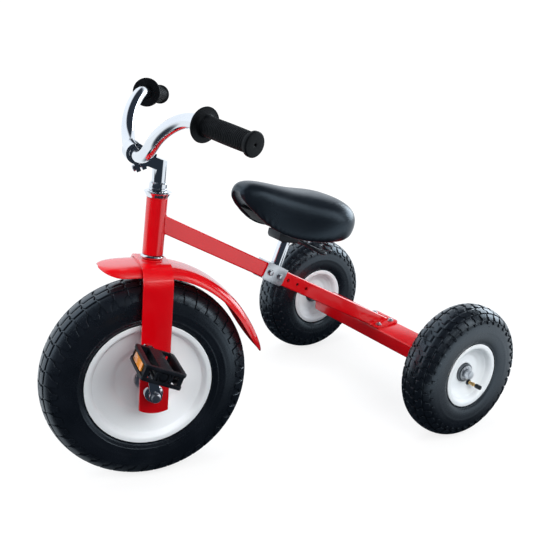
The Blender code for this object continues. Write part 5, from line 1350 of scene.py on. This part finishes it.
def addSaddle():
    def build(shape):
        rows = []
        for along, half, top, bottom in saddle["stations"]:
            rows.append([addVert(shape, x, along, z) for x, z in sectionPoints(half, top, bottom)])
        for first, second in zip(rows, rows[1:]):
            for index in range(len(first) - 1):
                face = shape.faces.new((first[index], second[index], second[index + 1], first[index + 1]))
                face.material_index = int(index >= saddle["underFrom"])
        shape.faces.new(rows[0])
        shape.faces.new(list(reversed(rows[-1])))
    thing = scratchObject("saddle", meshFrom(build))
    mirror = thing.modifiers.new("other half", "MIRROR")
    mirror.use_axis[0] = True
    mirror.merge_threshold = 0.1 * mm
    smooth = thing.modifiers.new("padding", "SUBSURF")
    smooth.levels = smooth.render_levels = 4
    mesh = takeMesh(thing)
    for vertex in mesh.vertices:
        x, y, z = vertex.co / mm
        nearEdge = math.exp(-((z - lowerEdge(y) - 5) / 6) ** 2)
        ripple = math.sin(math.atan2(x, y + 10) * saddle["puckers"] + 2.0 * noise.noise(vertex.co * 60))
        vertex.co += Vector((x, y, 0)).normalized() * (ripple * 0.5 * saddle["pucker"] * mm * nearEdge)
    piece = addPiece(("saddle",), mesh, "saddle_vinyl", "frame", saddlePlace, 180)
    piece.data.materials.append(finishes["grip_rubber"])


def lowerEdge(along):
    rows = saddle["stations"]
    for first, last in zip(rows, rows[1:]):
        if first[0] <= along <= last[0]:
            return first[3] + (last[3] - first[3]) * (along - first[0]) / (last[0] - first[0])
    return rows[0 if along < 0 else -1][3]


springs = {
    "back": 80.0, "spread": 34.0, "radius": 11.0, "wire": 1.7, "turns": 3.5, "frameWire": 3.2, "frameDrop": 15.0,
    "panGap": 1.2, "pan": 3.0,
}
clamp = {"front": 24.0, "rear": 22.0, "width": 38.0, "height": 17.0, "frontRound": 10.0, "rearRound": 5.0}
panStations = saddle["stations"][2:-1]


def panUnder(along):
    return lowerEdge(along) + saddle["recess"] - springs["panGap"] - springs["pan"]


def addPan():
    def build(shape):
        rows = []
        for along, half, top, bottom in panStations:
            level = bottom + saddle["recess"] - springs["panGap"]
            rows.append([addVert(shape, half * x / 10, along, level) for x in range(-6, 7)])
        joinRows(shape, rows)
    sheet = easeEdges(thickSheet(meshFrom(build), springs["pan"], -1), 0.5, 2, 50)
    pan = addPiece(("saddle_pan",), sheet, "black_plastic", "frame", saddlePlace)
    pan.data.materials[0] = finishes["grip_rubber"]


def addClamp():
    top = min(panUnder(row[0]) for row in panStations) - gap
    low = top - clamp["height"]
    front, rear, nose, tail = -clamp["front"], clamp["rear"], clamp["frontRound"], clamp["rearRound"]
    outline = arcPoints((front + nose, low + nose), nose, 180, 270, 12)
    outline += arcPoints((rear - tail, low + tail), tail, 270, 360, 8) + [(rear, top), (front, top)]
    block = moved(slabMesh([outline], clamp["width"]), saddlePlace @ standSideways)
    long = 2 * bracket["postLength"]
    bore = moved(rodMesh(bracket["postRadius"] + gap, long),
                 shift(*(postFoot + postUp * long / 2)) @ turnX(-bracket["postLean"]))
    block = easeEdges(carved(block, [bore]), 1.0, 2, 50)
    addPiece(("saddle_clamp",), block, "black_plastic", "frame", None, 40)


def addSprings():
    back, radius, wire, drop = springs["back"], springs["radius"], springs["wire"], -springs["frameDrop"]
    foot = drop + springs["frameWire"] + gap + wire
    height = panUnder(back - radius) - gap - wire - foot
    for side, word in bothSides:
        path = []
        total = int(springs["turns"] * 24)
        for step in range(total + 1):
            turn = 2 * math.pi * step / 24
            path.append((-side * radius * math.cos(turn), radius * math.sin(turn), height * step / total))
        addPiece(("saddle_spring_" + word,), sweptMesh(path, wire, "POLY", 4), "dark_steel", "frame",
                 saddlePlace @ shift(side * springs["spread"], back, foot))
    start, half = clamp["rear"] + gap, springs["spread"] + 4
    bent = [(14, start, -1), (14, start + 5, -1), (17, start + 14, -4), (half - 2, back - 9, drop),
            (half, back - 3, drop), (half - 4, back + 1, drop)]
    wires = sweptMesh(softenCorners(bent + mirrored(bent), 5, 5, False), springs["frameWire"], "POLY", 5)
    addPiece(("saddle_frame",), wires, "dark_steel", "frame", saddlePlace)


addBracket()
addPost()
addSaddle()
addPan()
addClamp()
addSprings()
print("seat made")


# Floor, light and camera

studio = {
    "floor": (0.90, 0.90, 0.90, 1), "floorShade": (0.88, 0.88, 0.89, 1), "floorDrift": (0.6, 0.3),
    "floorSize": 60.0, "floorShader": {"Roughness": 0.9, "Specular IOR Level": 0.0},
    "glow": 1.08, "glowReach": (0.9, 2.2), "glowShare": (0.72, 1.0),
    # floor seen in reflections glows for all but the camera, a painted reflection and light: dark in front, a
    # painted shadow under the tricycle, bright beyond
    "dark": (0.022, 0.030, 0.042, 1), "bright": (0.92, 0.98, 1.03, 1),
    "darkFrom": (0.05, -0.05, 0.0), "darkSide": (0.707, -0.707, 0.0), "darkTurn": (0.28, 0.48),
    "under": (0.0, 0.35, 0.0), "paintedShadowReach": (0.35, 0.75),
    # sky seen in reflections: bright to one side and low behind
    "skyDark": (0.026, 0.034, 0.048, 1), "skyBright": (1.00, 1.07, 1.15, 1),
    "skySide": (-0.88, -0.36, 0.30), "skyTurn": (0.50, 0.70),
    "lowSide": (-0.56, 0.80, -0.20), "lowTurn": (0.66, 0.82),
    "target": (0.0, 0.25, 0.3),
    "softboxes": (
        # name, size across and along, place, power, colour, seen in reflections
        ("leftBox", 1.0, 1.8, (0.1, -2.7, 1.5), 52.0, (1.0, 1.0, 1.0), False),
        ("rightBox", 0.9, 2.0, (2.3, 2.1, 1.7), 12.0, (1.0, 1.0, 1.0), True),
        ("backBox", 2.6, 1.4, (-0.1, 3.3, 1.0), 52.0, (0.86, 0.94, 1.0), True),
        ("topBox", 2.2, 1.2, (-0.9, 0.9, 2.6), 26.0, (0.94, 0.97, 1.0), False),
        ("edgeStrip", 1.5, 0.16, (2.2, 0.4, 1.85), 2.2, (1.0, 1.0, 1.0), True),
        ("fill", 2.2, 2.2, (2.3, 0.1, 2.1), 68.0, (1.0, 1.0, 1.0), False),
    ),
}
view = {
    "sensor": 36.0, "lens": 54.42, "near": 0.05, "far": 200.0,
    "place": (
        (0.576952, -0.297943, 0.760497, 1.19058),
        (0.816777, 0.209257, -0.537668, -0.56099),
        (0.001055, 0.931365, 0.364084, 0.87765),
        (0.0, 0.0, 0.0, 1.0),
    ),
}


def addSwitch(tree, share, first, second):
    both = tree.nodes.new("ShaderNodeMixShader")
    tree.links.new(share, both.inputs["Fac"])
    tree.links.new(first, both.inputs[1])
    tree.links.new(second, both.inputs[2])
    return both.outputs[0]


def makeFloorMaterial():
    material, tree, shader = startMaterial("studio floor", studio["floorShader"])
    drift = placeGroup(tree, "drift", studio["floor"], studio["floorShade"], *studio["floorDrift"])
    tree.links.new(drift["Colour"], shader.inputs["Base Color"])
    where = tree.nodes.new("ShaderNodeTexCoord").outputs["Object"]
    glow = tree.nodes.new("ShaderNodeEmission")
    glow.inputs["Strength"].default_value = studio["glow"]
    share = addRange(tree, addVector(tree, "LENGTH", where), *studio["glowReach"], *studio["glowShare"])
    seen = addSwitch(tree, share, shader.outputs[0], glow.outputs[0])
    # all but the camera see the floor glow: a painted reflection and light, dark in front
    others = tree.nodes.new("ShaderNodeEmission")
    aside = addVector(tree, "NORMALIZE", addVector(tree, "SUBTRACT", where, studio["darkFrom"]))
    front = addSlope(tree, aside, studio["darkSide"], *studio["darkTurn"])
    # painted shadow: the glow fades out under the tricycle
    beyond = addRange(tree, addVector(tree, "DISTANCE", where, studio["under"]), *studio["paintedShadowReach"])
    lit = addMath(tree, "MULTIPLY", addMath(tree, "SUBTRACT", 1.0, front), beyond)
    tree.links.new(addMix(tree, lit, studio["dark"], studio["bright"]), others.inputs["Color"])
    camera = tree.nodes.new("ShaderNodeLightPath").outputs["Is Camera Ray"]
    surface = tree.nodes["Material Output"].inputs["Surface"]
    tree.links.new(addSwitch(tree, camera, others.outputs[0], seen), surface)
    return material


def addStudio():
    half = studio["floorSize"] / 2

    def floorShape(shape):
        corners = ((-half, -half), (half, -half), (half, half), (-half, half))
        shape.faces.new([shape.verts.new((x, y, 0)) for x, y in corners])
    floor = scratchObject("floor", meshFrom(floorShape))
    floor.data.materials.append(makeFloorMaterial())
    for name, wide, long, at, power, colour, reflected in studio["softboxes"]:
        lamp = bpy.data.lights.new(name, "AREA")
        lamp.shape = "RECTANGLE"
        lamp.size = wide
        lamp.size_y = long
        lamp.energy = power
        lamp.color = colour
        holder = scratchObject(name, lamp)
        holder.location = at
        holder.visible_glossy = reflected
        holder.rotation_euler = (Vector(studio["target"]) - Vector(at)).to_track_quat("-Z", "Y").to_euler()


def makeSky():
    world = bpy.data.worlds.new("studio")
    scene.world = world
    world.use_nodes = True
    tree = world.node_tree
    tree.nodes.clear()
    where = tree.nodes.new("ShaderNodeTexCoord").outputs["Generated"]
    screen = addMath(tree, "MAXIMUM", addSlope(tree, where, studio["skySide"], *studio["skyTurn"]),
                     addSlope(tree, where, studio["lowSide"], *studio["lowTurn"]))
    light = tree.nodes.new("ShaderNodeBackground")
    tree.links.new(addMix(tree, screen, studio["skyDark"], studio["skyBright"]), light.inputs["Color"])
    plain = tree.nodes.new("ShaderNodeBackground")
    plain.inputs["Color"].default_value = (1, 1, 1, 1)
    output = tree.nodes.new("ShaderNodeOutputWorld")
    camera = tree.nodes.new("ShaderNodeLightPath").outputs["Is Camera Ray"]
    tree.links.new(addSwitch(tree, camera, light.outputs[0], plain.outputs[0]), output.inputs["Surface"])


def addCamera():
    lens = bpy.data.cameras.new("camera")
    lens.sensor_width = view["sensor"]
    lens.lens = view["lens"]
    lens.clip_start = view["near"]
    lens.clip_end = view["far"]
    camera = scratchObject("camera", lens)
    camera.matrix_world = Matrix(view["place"])
    scene.camera = camera


addStudio()
makeSky()
addCamera()
scene.view_settings.view_transform = "Standard"
print("studio made")
